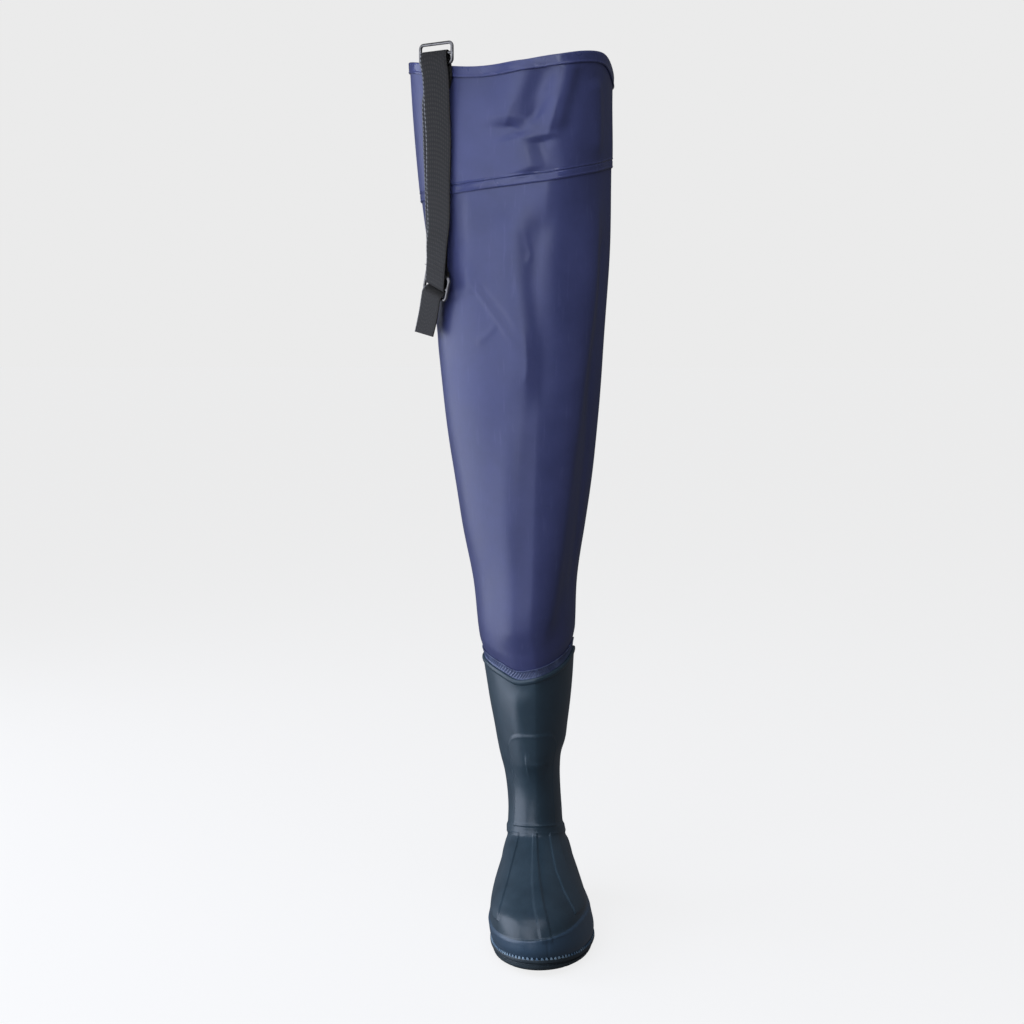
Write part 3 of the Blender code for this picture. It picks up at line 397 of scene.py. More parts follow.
# Creases placed one by one. A ridge has a positive rise and a trough a negative one, in
# millimetres. The reaches are how far it fades out to the lateral and to the medial side.
# The line is given by quarter turns from the front and heights in millimetres.
CREASE_COLUMNS = ("name", "rise", "lateral_reach", "medial_reach", "line")
LEG_CREASES = (
    ("cuff ridge", 5.0, 24.0, 14.0,
     ((0.16, 939), (0.18, 928), (0.20, 909), (0.23, 892), (0.24, 880), (0.24, 866))),
    ("cuff first hollow", -3.6, 12.0, 10.0,
     ((0.04, 936), (0.06, 918), (0.09, 901), (0.10, 883), (0.11, 869))),
    ("cuff pinch", -1.3, 3.0, 3.0,
     ((0.26, 872), (0.21, 867), (0.15, 860))),
    ("cuff low ridge", 4.0, 20.0, 13.0,
     ((0.18, 865), (0.16, 849), (0.14, 833), (0.11, 815))),
    ("cuff low hollow", -3.4, 13.0, 13.0,
     ((0.05, 860), (0.03, 846), (-0.01, 830), (-0.04, 812))),
    ("cuff second ridge", 3.0, 13.0, 10.0,
     ((-0.14, 940), (-0.13, 926), (-0.11, 910), (-0.08, 890), (-0.06, 878), (-0.05, 862))),
    ("cuff second hollow", -2.4, 11.0, 14.0,
     ((-0.25, 936), (-0.20, 917), (-0.16, 896), (-0.14, 875), (-0.12, 849))),
    ("cuff slant", -0.9, 5.0, 5.0,
     ((0.00, 905), (0.07, 891), (0.13, 876), (0.17, 864))),
    ("cuff side bulge", 2.6, 14.0, 10.0,
     ((-0.44, 924), (-0.50, 899), (-0.53, 868), (-0.52, 836))),
    ("front ridge", 4.2, 22.0, 11.0,
     ((0.11, 800), (0.15, 780), (0.18, 757), (0.18, 736), (0.16, 715), (0.13, 680), (0.09, 641),
      (0.08, 633), (0.08, 610), (0.10, 581), (0.14, 549))),
    ("front hollow", -3.2, 12.0, 14.0,
     ((-0.05, 802), (-0.01, 772), (0.03, 744), (0.03, 710), (0.01, 680), (-0.02, 645),
      (-0.02, 618), (-0.03, 586), (-0.02, 549))),
    ("front fine edge", 1.0, 3.0, 2.0,
     ((0.11, 662), (0.09, 641), (0.08, 625), (0.08, 610), (0.09, 590))),
    ("front fine fold", 0.8, 3.0, 2.5, ((0.13, 768), (0.10, 748), (0.08, 735), (0.10, 722))),
    ("cuff fine edge", 0.8, 3.0, 2.0, ((0.22, 896), (0.24, 882), (0.25, 868))),
    ("cuff fine fold", 0.8, 2.5, 2.5, ((-0.04, 903), (-0.01, 885), (0.01, 868), (0.02, 856))),
    ("cuff fine slant", 0.6, 2.5, 2.5, ((0.04, 884), (0.08, 876), (0.10, 866))),
    ("front low ridge", 2.6, 20.0, 14.0,
     ((0.10, 597), (0.14, 549), (0.17, 506), (0.19, 451), (0.20, 363), (0.18, 319), (0.20, 272))),
    ("medial ridge", 5.6, 26.0, 15.0,
     ((-0.59, 816), (-0.58, 779), (-0.55, 741), (-0.54, 677), (-0.46, 602), (-0.38, 526),
      (-0.31, 450), (-0.21, 363), (-0.10, 320), (0.04, 289))),
    ("slant crease", 1.1, 3.5, 3.0,
     ((0.51, 710), (0.44, 698), (0.35, 679), (0.26, 660), (0.17, 641))),
    ("slant crease hollow", -0.8, 5.0, 4.0,
     ((0.44, 708), (0.34, 687), (0.24, 668), (0.15, 649))),
    ("low slant crease", 0.7, 4.0, 4.0,
     ((0.29, 663), (0.37, 651), (0.47, 640))),
    ("strap bulge", 1.4, 9.0, 9.0,
     ((0.54, 728), (0.51, 711), (0.52, 692))),
    ("strap hollow", -1.6, 8.0, 7.0,
     ((0.54, 803), (0.56, 768), (0.56, 736))),
    ("back long fold", 3.0, 20.0, 9.0,
     ((2.05, 940), (2.12, 860), (2.04, 780), (2.10, 690), (2.02, 600), (2.06, 500), (2.00, 380))),
    ("back valley", -3.0, 12.0, 12.0,
     ((2.38, 930), (2.34, 840), (2.42, 740), (2.36, 640), (2.40, 540), (2.34, 430))),
    ("back lateral valley", -2.6, 13.0, 13.0,
     ((1.66, 930), (1.70, 850), (1.62, 760), (1.68, 660), (1.62, 560), (1.66, 440))),
    ("knee hollow", -2.6, 9.0, 9.0, ((1.72, 640), (1.95, 625), (2.20, 632), (2.45, 650))),
    ("knee hollow fold", 2.2, 9.0, 9.0, ((1.68, 612), (1.92, 598), (2.18, 604), (2.40, 618))),
    ("ankle tuck", -1.6, 8.0, 8.0, ((1.60, 345), (1.90, 336), (2.20, 338), (2.45, 348))),
    ("medial long fold", 2.2, 12.0, 12.0,
     ((3.05, 930), (3.12, 840), (3.04, 740), (3.10, 630), (3.04, 520), (3.08, 400))),
    ("medial valley", -2.0, 11.0, 10.0,
     ((3.36, 800), (3.30, 720), (3.38, 630), (3.32, 520), (3.36, 420), (3.34, 330))),
)
# Share of a crease's length over which it fades at each end, points along it between two named
# ones, and how many reaches away it still counts
FADE = 0.20
CREASE_STEPS = 12
CREASE_SPAN = 3


def crease_line(points):
    """Dense points on the form along a crease, with their shares of its length."""
    named = np.array(points, float)
    share = np.linspace(0.0, 1.0, len(named))
    fine = np.linspace(0.0, 1.0, CREASE_STEPS * (len(named) - 1) + 1)
    slopes = np.gradient(named, share, axis=0)
    low = np.clip(np.searchsorted(share, fine, side="right") - 1, 0, len(named) - 2)
    run = share[1]
    t = ((fine - share[low]) / run)[:, None]
    line = curve_between(t, run, named[low], slopes[low], named[low + 1], slopes[low + 1])
    v = section_at(line[:, 1] * MM)
    return form_point(v, line[:, 0]), form_normal(v, line[:, 0]), fine


def crease_lift(places, row):
    """Lift that one crease gives to places on the form."""
    line, normals, shares = crease_line(row["line"])
    span = CREASE_SPAN * max(row["lateral_reach"], row["medial_reach"]) * MM
    low, high = line.min(axis=0) - span, line.max(axis=0) + span
    near = np.flatnonzero(((places > low) & (places < high)).all(axis=1))
    best = np.full(len(near), np.inf)
    side, share = np.zeros(len(near)), np.zeros(len(near))
    for start, end, normal, begin, finish in zip(line, line[1:], normals, shares, shares[1:]):
        way = end - start
        along = np.clip((places[near] - start) @ way / (way @ way), 0.0, 1.0)
        away = places[near] - start - along[:, None] * way
        distance = np.linalg.norm(away, axis=1)
        closer = distance < best
        best[closer] = distance[closer]
        side[closer] = (away @ np.cross(normal, way))[closer]
        share[closer] = (begin + (finish - begin) * along)[closer]
    fall = np.where(side > 0, row["medial_reach"], row["lateral_reach"]) * MM
    fade = ease(np.minimum(share, 1.0 - share) / FADE)
    lift = np.zeros(len(places))
    lift[near] = row["rise"] * MM * swell(best, fall) * fade
    return lift


def crease_lifts(places, rows):
    """Lift of a whole table of creases."""
    return sum(crease_lift(places, row) for row in table(CREASE_COLUMNS, rows))


# Broad waves of a sheet that has been folded and worn: height and wave length up the leg in
# millimetres, waves round the leg and phase
WAVE_COLUMNS = ("height", "turns", "length", "phase")
LEG_WAVES = table(WAVE_COLUMNS, (
    (0.60, 1.0, 310.0, 0.4), (0.40, 2.0, -230.0, 2.1), (0.20, 3.0, 140.0, 4.4)))
# The strap presses the folds under it flat, above its foot and between two turns
STRAP_FIRST, STRAP_LAST, STRAP_EDGE = 0.50, 1.12, 0.10
STRAP_FOOT, STRAP_FOOT_FADE = ADJUSTER_LEVEL - 70 * MM, 20 * MM
PRESSED_HOLLOW = 0.6
# The boot's top holds the folds: over what height they are released above the shaft, and the
# share of them that is left below it
FOLD_RELEASE, FOLD_LEFT = 40 * MM, 0.15


def leg_folds(v, u):
    """Lift of the leg's creases and waves at places on the form."""
    places = form_point(v, u).reshape(-1, 3)
    lift = crease_lifts(places, LEG_CREASES)
    turn, height = np.broadcast_to(u, v.shape).reshape(-1), places[:, 2]
    for wave in LEG_WAVES:
        circle = 2 * math.pi * (wave["turns"] * turn / QUARTERS
                                + height / (wave["length"] * MM)) + wave["phase"]
        lift += wave["height"] * MM * np.sin(circle)
    under = ease((turn - STRAP_FIRST) / STRAP_EDGE) * ease((STRAP_LAST - turn) / STRAP_EDGE)
    under *= ease((height - STRAP_FOOT) / STRAP_FOOT_FADE)
    lift = lift * (1.0 - np.where(lift > 0, 1.0, PRESSED_HOLLOW) * under)
    held = ease((height - SHAFT_HEIGHT) / FOLD_RELEASE)
    return (lift * (FOLD_LEFT + (1.0 - FOLD_LEFT) * held)).reshape(v.shape)


# Columns round the pieces, closer on the front, where the creases are finest
def turn_columns(front_count, back_count, front_half):
    front = np.linspace(-front_half, front_half, front_count, endpoint=False)
    back = np.linspace(front_half, QUARTERS - front_half, back_count, endpoint=False)
    return np.concatenate((front, back))


LEG_TURNS = turn_columns(front_count=150, back_count=90, front_half=0.95)
BOOT_TURNS = turn_columns(front_count=190, back_count=90, front_half=0.85)
SOLE_TURNS = turn_columns(front_count=220, back_count=200, front_half=1.0)
# Steps round a sheet's edge, and the distance under which rows are welded
EDGE_STEPS = 4
WELD_DISTANCE = 0.002 * MM
FACE_OUTWARD = (bpy.ops.mesh.normals_make_consistent, {"inside": False})


def pick(*things):
    """Selects only these things, with the first one active."""
    for thing in bpy.context.selected_objects:
        thing.select_set(False)
    for thing in things:
        thing.select_set(True)
    if things:
        bpy.context.view_layer.objects.active = things[0]


def edit_whole(thing, *tools):
    """Runs edit-mode tools, each with its settings, on the whole of a piece."""
    pick(thing)
    bpy.ops.object.mode_set(mode="EDIT")
    for tool, settings in tools:
        bpy.ops.mesh.select_all(action="SELECT")
        tool(**settings)
    bpy.ops.object.mode_set(mode="OBJECT")


def wrapped(name, rings):
    """Grid primitive wrapped on rings of points, one ring a row, and welded where rows meet.

    Its texture places are real metres: round the piece, and up from its first ring."""
    rings = np.array(rings)
    rings = np.concatenate((rings, rings[:, :1]), axis=1)
    rows, columns = rings.shape[:2]
    pick()
    bpy.ops.mesh.primitive_grid_add(x_subdivisions=columns - 1, y_subdivisions=rows - 1, size=1.0)
    thing = bpy.context.object
    thing.name = thing.data.name = name
    mesh = thing.data
    flat = np.empty(len(mesh.vertices) * 3)
    mesh.vertices.foreach_get("co", flat)
    flat = flat.reshape(-1, 3) + 0.5
    column = np.rint(flat[:, 0] * (columns - 1)).astype(int)
    row = np.rint(flat[:, 1] * (rows - 1)).astype(int)
    mesh.vertices.foreach_set("co", rings[row, column].ravel())
    around = np.zeros((rows, columns))
    around[:, 1:] = np.cumsum(np.linalg.norm(np.diff(rings, axis=1), axis=2), axis=1)
    up = np.zeros((rows, columns))
    up[1:] = np.cumsum(np.linalg.norm(np.diff(rings, axis=0), axis=2), axis=0)
    corner = np.empty(len(mesh.loops), int)
    mesh.loops.foreach_get("vertex_index", corner)
    metres = np.stack((around[row, column][corner], up[row, column][corner]), axis=1)
    mesh.uv_layers[0].name = "Metres"
    mesh.uv_layers[0].data.foreach_set("uv", metres.ravel())
    edit_whole(thing, (bpy.ops.mesh.remove_doubles, {"threshold": WELD_DISTANCE}), FACE_OUTWARD)
    bpy.ops.object.shade_smooth()
    return thing


def wall_rows(heights, outside, inside):
    """Rows of a sheet's wall, up its outer face, round its top edge and down its inner face."""
    half, middle = (outside - inside) / 2, (outside + inside) / 2
    rows = [(height, outside) for height in heights]
    for step in range(1, EDGE_STEPS):
        angle = math.pi * step / EDGE_STEPS
        rows.append((heights[-1] + half * math.sin(angle), middle + half * math.cos(angle)))
    rows += [(height, inside) for height in heights[::-2]]
    if len(heights) % 2 == 0:
        rows.append((heights[0], inside))
    for step in range(1, EDGE_STEPS):
        angle = math.pi * step / EDGE_STEPS
        rows.append((heights[0] - half * math.sin(angle), middle - half * math.cos(angle)))
    rows.append(rows[0])
    return rows


def leg_lift(height, u):
    """The leg is sunk inside the boot's top and comes out to the form above it."""
    release = ease((height - boot_top(u)) / RELEASE_RISE)
    return -(BOOT_WALL + TUCK_GAP) * (1.0 - release)


def leg_rings(rows, turns, relief=None):
    """Rings of a leg piece with the leg's folds on them."""
    height = np.array([np.broadcast_to(row[0], turns.shape) for row in rows])
    lift = np.array([np.broadcast_to(row[1], turns.shape) for row in rows])
    u = np.broadcast_to(turns, height.shape)
    v = section_at(height)
    lift = lift + leg_lift(height, u) + leg_folds(v, u)
    return raised(v, u, lift)


def between_lines(low, high, spacing):
    """Evenly spaced height lines from one line to another."""
    count = max(2, int(round(float((high - low).mean()) / spacing)))
    return [low + (high - low) * step / count for step in range(count + 1)]


# Spacing of the rows up each piece
LEG_SPACING = 2.4 * MM
CUFF_SPACING, WELD_SPACING = 1.3 * MM, 0.5 * MM
BOOT_SPACING, SHAFT_SPACING = 1.9 * MM, 1.8 * MM


def make_leg_tube():
    low, high = boot_top(LEG_TURNS) - TUCK_DEPTH, seam_level(LEG_TURNS) + LAP_DEPTH
    rows = wall_rows(between_lines(low, high, LEG_SPACING), 0.0, -LEG_WALL)
    return wrapped("leg_fabric", leg_rings(rows, LEG_TURNS))


# The cuff's weld: beads and the groove between them, by rise from its lower edge, in millimetres
WELD_COLUMNS = ("rise", "lift", "reach")
WELD_LINES = table(WELD_COLUMNS, ((1.2, 0.45, 0.7), (8.2, -0.55, 0.6), (9.6, 0.35, 0.7)))
WELD_TOP = 12 * MM


def make_cuff():
    low, high = seam_level(LEG_TURNS), collar_level(LEG_TURNS)
    heights = between_lines(low, low + WELD_TOP, WELD_SPACING)
    heights += between_lines(low + WELD_TOP, high, CUFF_SPACING)[1:]
    rows = []
    for step, (height, lift) in enumerate(wall_rows(heights, SEAT_GAP + LEG_WALL, SEAT_GAP)[:-1]):
        if step < len(heights):
            for line in WELD_LINES:
                away = height - low - line["rise"] * MM
                lift = lift + line["lift"] * MM * swell(away, line["reach"] * MM)
        rows.append((height, lift))
    rows.append(rows[0])
    return wrapped("cuff_fabric", leg_rings(rows, LEG_TURNS))


# The hem's outer face by rise from its lower edge, with the weld's bead near the edge
HEM_RISES = [rise * MM for rise in (0.0, 0.4, 0.8, 1.2, 1.6, 2.0, 2.6, 3.4, 5.0, 7.0, 9.0, 10.5)]
HEM_BEAD, HEM_BEAD_RISE, HEM_BEAD_REACH = 0.5 * MM, 1.2 * MM, 0.8 * MM
# Its fold over the top: steps round it and down inside, its crown as a share of the wall, and
# how closely it goes round the cuff's own edge
HEM_FOLD_STEPS, HEM_INSIDE_STEPS = 8, 5
HEM_CROWN = 1.2
CUFF_EDGE_DROP, CUFF_EDGE_CLEAR = 0.4 * LEG_WALL, 0.6 * SEAT_GAP


def make_hem():
    top = collar_level(LEG_TURNS)
    foot = top - HEM_DEPTH
    cuff_out = SEAT_GAP + LEG_WALL
    face_in, face_out = cuff_out + SEAT_GAP, cuff_out + SEAT_GAP + LEG_WALL
    rows = [(foot + rise, face_out + HEM_BEAD * swell(rise - HEM_BEAD_RISE, HEM_BEAD_REACH))
            for rise in HEM_RISES]
    middle, half = (face_out - LEG_WALL) / 2, (face_out + LEG_WALL) / 2
    for step in range(1, HEM_FOLD_STEPS):
        angle = math.pi * step / HEM_FOLD_STEPS
        rows.append((top - LEG_WALL + HEM_CROWN * LEG_WALL * math.sin(angle) + SEAT_GAP,
                     middle + half * math.cos(angle)))
    rows += [(top - LEG_WALL - (HEM_DEPTH - LEG_WALL) * step / HEM_INSIDE_STEPS, -LEG_WALL)
             for step in range(HEM_INSIDE_STEPS + 1)]
    rows += [(foot, 0.0), (top - CUFF_EDGE_DROP, 0.0),
             (top + CUFF_EDGE_CLEAR, 0.5 * SEAT_GAP), (top + CUFF_EDGE_CLEAR, cuff_out),
             (top - CUFF_EDGE_DROP, face_in), (foot, face_in)]
    rows.append(rows[0])
    return wrapped("collar_hem", leg_rings(rows, LEG_TURNS))


KNURL_PITCH = 3.4 * MM
KNURL_DEPTH = 1.0 * MM
KNURL_SLOPE = 0.8
KNURL_MARGIN = 1.5 * MM
BAND_COLUMNS, BAND_ROWS = 720, 12


def make_weld_band():
    turns = np.linspace(0.0, QUARTERS, BAND_COLUMNS, endpoint=False)
    low = boot_top(turns) + SEAT_GAP
    heights = [low + WELD_BAND_HEIGHT * step / BAND_ROWS for step in range(BAND_ROWS + 1)]
    circle = np.linalg.norm(np.diff(form_point(section_at(low), turns), axis=0), axis=1).sum()
    ribs = round(circle / KNURL_PITCH)
    rows = []
    for step, (height, lift) in enumerate(wall_rows(heights, SEAT_GAP + WELD_BAND_WALL, SEAT_GAP)):
        if step < len(heights):
            from_edge = height - low
            phase = turns / QUARTERS * ribs + KNURL_SLOPE * from_edge / KNURL_PITCH
            rib = 0.5 + 0.5 * np.cos(2 * math.pi * phase)
            inside = ease(from_edge / KNURL_MARGIN)
            inside = inside * ease((WELD_BAND_HEIGHT - from_edge) / KNURL_MARGIN)
            lift = lift - KNURL_DEPTH * (1.0 - rib) * inside
        rows.append((height, lift))
    return wrapped("knurled_band", leg_rings(rows, turns))


# Raised strips on the vamp: for section counts from the ankle band to the rand, the turns of
# their two edges. Positive turns are lateral.
STRIP_COLUMNS = ("v", "left", "right")
VAMP_STRIPS = {
    "centre": ((9.0, 0.045, -0.020), (7.6, 0.038, -0.030), (6.1, 0.030, -0.045),
               (4.6, 0.010, -0.070), (2.5, -0.025, -0.110), (1.9, -0.030, -0.120)),
    "lateral": ((9.0, 0.50, 0.28), (7.6, 0.52, 0.32), (6.5, 0.55, 0.35), (5.2, 0.61, 0.37),
                (3.4, 0.66, 0.39), (2.4, 0.68, 0.41)),
    "medial": ((9.0, -0.23, -0.46), (8.0, -0.23, -0.47), (6.8, -0.24, -0.50),
               (5.0, -0.32, -0.60), (3.6, -0.42, -0.72), (2.9, -0.46, -0.76)),
}
STRIP_END = {"centre": 1.9, "lateral": 2.75, "medial": 3.15}
# Over how much each moulded step rises
SOFT_EDGE, STRIP_EDGE, BAND_EDGE, PANEL_EDGE = 1.4 * MM, 1.1 * MM, 2.2 * MM, 2.0 * MM
STRIP_OVERRUN = 1.0 * MM
# The rand grows out of the feather line, has a bead along its top and a seam at the toe
RAND_GROWTH = 0.12
RAND_BEAD, RAND_BEAD_DROP, RAND_BEAD_REACH = 0.5 * MM, 1.0 * MM, 1.0 * MM
TOE_SEAM_DEPTH, TOE_SEAM_REACH, TOE_SEAM_TURN = 0.9 * MM, 0.9 * MM, -0.085
# The shin panel: its half width and its arch's half width in quarter turns, how its arched top
# drops and falls away, and the bead round it
PANEL_HALF, ARCH_HALF, ARCH_POWER = 0.43, 0.42, 4
ARCH_DROP, ARCH_FALL = 2.0 * MM, 14 * MM
PANEL_BEAD, PANEL_BEAD_INSET, PANEL_BEAD_REACH = 0.35 * MM, 1.2 * MM, 1.2 * MM


def signed_turn(u):
    """Quarter turns from the front, positive to the lateral side."""
    return (u + QUARTERS / 2) % QUARTERS - QUARTERS / 2


def quarter_length(v):
    """Mean length of a quarter turn at a section count."""
    ends = np.linalg.norm(np.diff(np.concatenate((SECTIONS, SECTIONS[:, :1]), axis=1), axis=1),
                          axis=2).sum(axis=1) / QUARTERS
    return np.interp(v, np.arange(len(ends)), ends)


def inside_step(distance, edge=SOFT_EDGE):
    """0 outside an edge and 1 inside it, with a soft rise between."""
    return ease(distance / edge + 0.5)


def boot_relief(v, u):
    """Lift of the boot's moulded steps: rand, strips, ankle band and shin panel."""
    turn, length = signed_turn(u), quarter_length(v)
    band_low, band_top = ROW_NAMES.index("band low"), ROW_NAMES.index("band top")
    run = np.interp(v, np.arange(len(SPACING)), SPACING)
    below = (smooth_line(RAND_TOP_LINE, u) - v) * SPACING[1]
    rand = RAND_STEP * inside_step(below) * ease(v / RAND_GROWTH)
    rand += RAND_BEAD * swell(below - RAND_BEAD_DROP, RAND_BEAD_REACH)
    toe_seam = swell((turn - TOE_SEAM_TURN) * length, TOE_SEAM_REACH) * inside_step(below)
    rand -= TOE_SEAM_DEPTH * toe_seam
    strips = np.zeros_like(v)
    for name, rows in VAMP_STRIPS.items():
        strip = dict(zip(STRIP_COLUMNS, zip(*rows[::-1])))
        left = np.interp(v, strip["v"], strip["left"])
        right = np.interp(v, strip["v"], strip["right"])
        inside = np.minimum(left - turn, turn - right) * length
        inside = np.minimum(inside, (v - STRIP_END[name]) * run + STRIP_OVERRUN)
        inside = np.minimum(inside, (band_low - v) * run + STRIP_OVERRUN)
        strips = np.maximum(strips, inside_step(inside, STRIP_EDGE))
    band = np.minimum(v - band_low, band_top - v) * SPACING[band_low]
    ankle_band = BAND_STEP * np.sqrt(inside_step(band, BAND_EDGE))
    arch = PANEL_TOP - ARCH_DROP - ARCH_FALL * (np.abs(turn) / ARCH_HALF) ** ARCH_POWER
    height = form_point(v, u)[..., 2]
    inside = np.minimum(np.minimum(arch - height, (PANEL_HALF - np.abs(turn)) * length),
                        (v - band_top) * run)
    panel = PANEL_STEP * inside_step(inside, PANEL_EDGE)
    panel += PANEL_BEAD * swell(inside - PANEL_BEAD_INSET, PANEL_BEAD_REACH)
    return rand + STRIP_STEP * strips + ankle_band + panel


# Soft keels and a dent in the boot's moulding, in the creases' columns
BOOT_CREASES = (
    ("shin keel", 2.8, 15.0, 12.0,
     ((0.19, 267), (0.19, 251), (0.18, 226), (0.14, 192), (0.11, 159), (0.12, 129), (0.11, 112))),
    ("instep keel", 1.8, 10.0, 9.0, ((0.13, 97), (0.11, 89), (0.11, 81), (0.11, 72), (0.13, 65))),
    ("calf back dent", -1.2, 16.0, 16.0, ((1.85, 262), (2.05, 240), (2.20, 222))),
)


def boot_lift(v, u):
    lift = crease_lifts(form_point(v, u).reshape(-1, 3), BOOT_CREASES)
    return boot_relief(v, u) + lift.reshape(v.shape)


# Section counts where steps end, extra rows beside them, and the closest that rows may lie
STEP_LEVELS = (ROW_NAMES.index("band low"), ROW_NAMES.index("band top"), 2.0, 2.75, 3.15)
# The extra rows' offsets are in millimetres
STEP_OFFSETS = (-1.2, -0.6, 0.6, 1.2)
FEATHER_LEVELS = [0.04, 0.08]
CLOSEST_ROWS = 0.35 * MM
# The rim's rows by rise above its foot, in millimetres, and how far it swells
RIM_RISES = (-0.5, 0.0, 0.6, 1.4, 2.4, 3.4, 4.4, 5.2, 5.7)
RIM_SWELL = 1.3
RIM_CLEAR = 1.0 * MM
# Rounding of the top edge, by rise from the top and lift
LIP_ROWS = ((0.0, 0.1 * RIM_STEP), (0.0, -0.6 * BOOT_WALL), (-0.5 * MM, -BOOT_WALL))
# Rows of the lining down the shaft, as shares of the way from its middle to its top, and then
# down the foot in section counts
LINING_SHARES = (0.92, 0.8, 0.65, 0.5, 0.35, 0.2, 0.05)
LINING_FIRST, LINING_STEP = 15.0, 0.5


def boot_rows():
    """Section counts of the boot's outer face below its shaft's middle, close at the steps."""
    wanted = []
    for low in range(ROW_NAMES.index("mid shin")):
        count = int(math.ceil(SPACING[low] / BOOT_SPACING))
        wanted += [low + step / count for step in range(count)]
    for step in STEP_LEVELS:
        run = SPACING[int(step)]
        wanted += [step + offset * MM / run for offset in STEP_OFFSETS]
    wanted = sorted(level for level in wanted + FEATHER_LEVELS if level >= 0.0)
    kept = [wanted[0]]
    for level in wanted[1:]:
        if (level - kept[-1]) * SPACING[int(kept[-1])] > CLOSEST_ROWS:
            kept.append(level)
    return kept


def make_boot_upper():
    u = BOOT_TURNS
    grid = np.array([np.full_like(u, level) for level in boot_rows()])
    turns = np.broadcast_to(u, grid.shape)
    rings = list(raised(grid, turns, boot_lift(grid, turns)))
    base, top = LEVELS[ROW_NAMES.index("mid shin")], boot_top(u)
    rim_foot = top - RIM_HEIGHT
    heights = between_lines(np.full_like(u, base), rim_foot - RIM_CLEAR, SHAFT_SPACING)[1:]
    heights += [rim_foot + rise * MM for rise in RIM_RISES]
    for height in heights:
        v = section_at(height)
        share = np.clip((height - rim_foot) / RIM_HEIGHT, 0.0, 1.0)
        rim = RIM_SWELL * RIM_STEP * np.sin(math.pi * share) ** 0.5
        rings.append(raised(v, u, boot_lift(v, u) + rim))
    for rise, lift in LIP_ROWS:
        rings.append(raised(section_at(top + rise), u, lift))
    for share in LINING_SHARES:
        rings.append(raised(section_at(base + share * (top - base)), u, -BOOT_WALL))
    for level in np.arange(LINING_FIRST, 0.0, -LINING_STEP):
        rings.append(raised(level, u, -BOOT_WALL))
    foot = raised(0.0, u, -BOOT_WALL)
    foot[:, 2] = sole_top(foot[:, 1]) + SEAT_GAP
    rings += [foot, rings[0]]
    return wrapped("boot_moulding", rings)


def sole_ring(inset, height, turns):
    """Outline of the sole, the welt's width outside the feather, less an inset."""
    feather = FOOT[0]
    front, back = HEEL_BACK - SOLE_LENGTH + inset, HEEL_BACK - inset
    half = feather["lateral"] * BALL_WIDTH + WELT_WIDTH - inset
    x, y = outline(front, back, feather["widest"], half, half, (feather["nose"],) * 2,
                   (feather["tail"],) * 2, feather["taper"], feather["waist"])
    x = x + inflare(y)
    places = (turns % QUARTERS) * DENSE
    around = np.arange(QUARTERS * DENSE + 1)
    x = np.interp(places, around, np.append(x, x[0]))
    y = np.interp(places, around, np.append(y, y[0]))
    low, high = sole_bottom(y), sole_top(y)
    return np.stack((x, y, low + (high - low) * height), axis=1)


def apply_modifier(thing, kind, **settings):
    """Adds a modifier with its settings and applies it."""
    pick(thing)
    modifier = thing.modifiers.new(kind.lower(), kind)
    for name, value in settings.items():
        setattr(modifier, name, value)
    bpy.ops.object.modifier_apply(modifier=modifier.name)


def close_ends(thing):
    """Flat caps over a wrapped piece's open ends."""
    edit_whole(thing, (bpy.ops.mesh.fill_holes, {"sides": 0}), FACE_OUTWARD)


def smooth_below(thing, degrees):
    """Smooth shading, apart from edges sharper than an angle."""
    pick(thing)
    bpy.ops.object.shade_smooth_by_angle(angle=math.radians(degrees))


def placement(across, along, out, place):
    """Matrix that lays a piece's own X, Y and Z along three directions at a place."""
    matrix = Matrix((across, along, out)).transposed().to_4x4()
    matrix.translation = place
    return matrix


def repeated(name, pattern, matrices):
    """One piece of copies of a modelled pattern, each with its own mesh, at its place."""
    copies = []
    for matrix in matrices:
        copy = pattern.copy()
        copy.data = pattern.data.copy()
        copy.data.transform(matrix)
        bpy.context.collection.objects.link(copy)
        copies.append(copy)
    bpy.data.objects.remove(pattern, do_unlink=True)
    pick(*copies)
    bpy.ops.object.join()
    whole = bpy.context.object
    whole.name = whole.data.name = name
    smooth_below(whole, 40)
    return whole


# Rounding of the tread's grooves and edges, and the lug grooves' width at their top as a share
GROOVE_CORNER, SOLE_CORNER = 0.8 * MM, 0.45 * MM
LUG_SLOPE = 0.85


def tread_cutter(y, length, depth, slope):
    """Block across the sole for one groove, narrower and rounded at its top."""
    pick()
    bpy.ops.mesh.primitive_cube_add(size=1.0, location=(0.0, y, 0.0),
                                    scale=(2 * BALL_WIDTH, length, 2 * depth))
    thing = bpy.context.object
    bpy.ops.object.transform_apply(location=True, rotation=False, scale=True)
    for vert in thing.data.vertices:
        if vert.co.z > 0:
            vert.co.y = y + (vert.co.y - y) * slope
    apply_modifier(thing, "BEVEL", width=GROOVE_CORNER, segments=3, limit_method="ANGLE")
    return thing


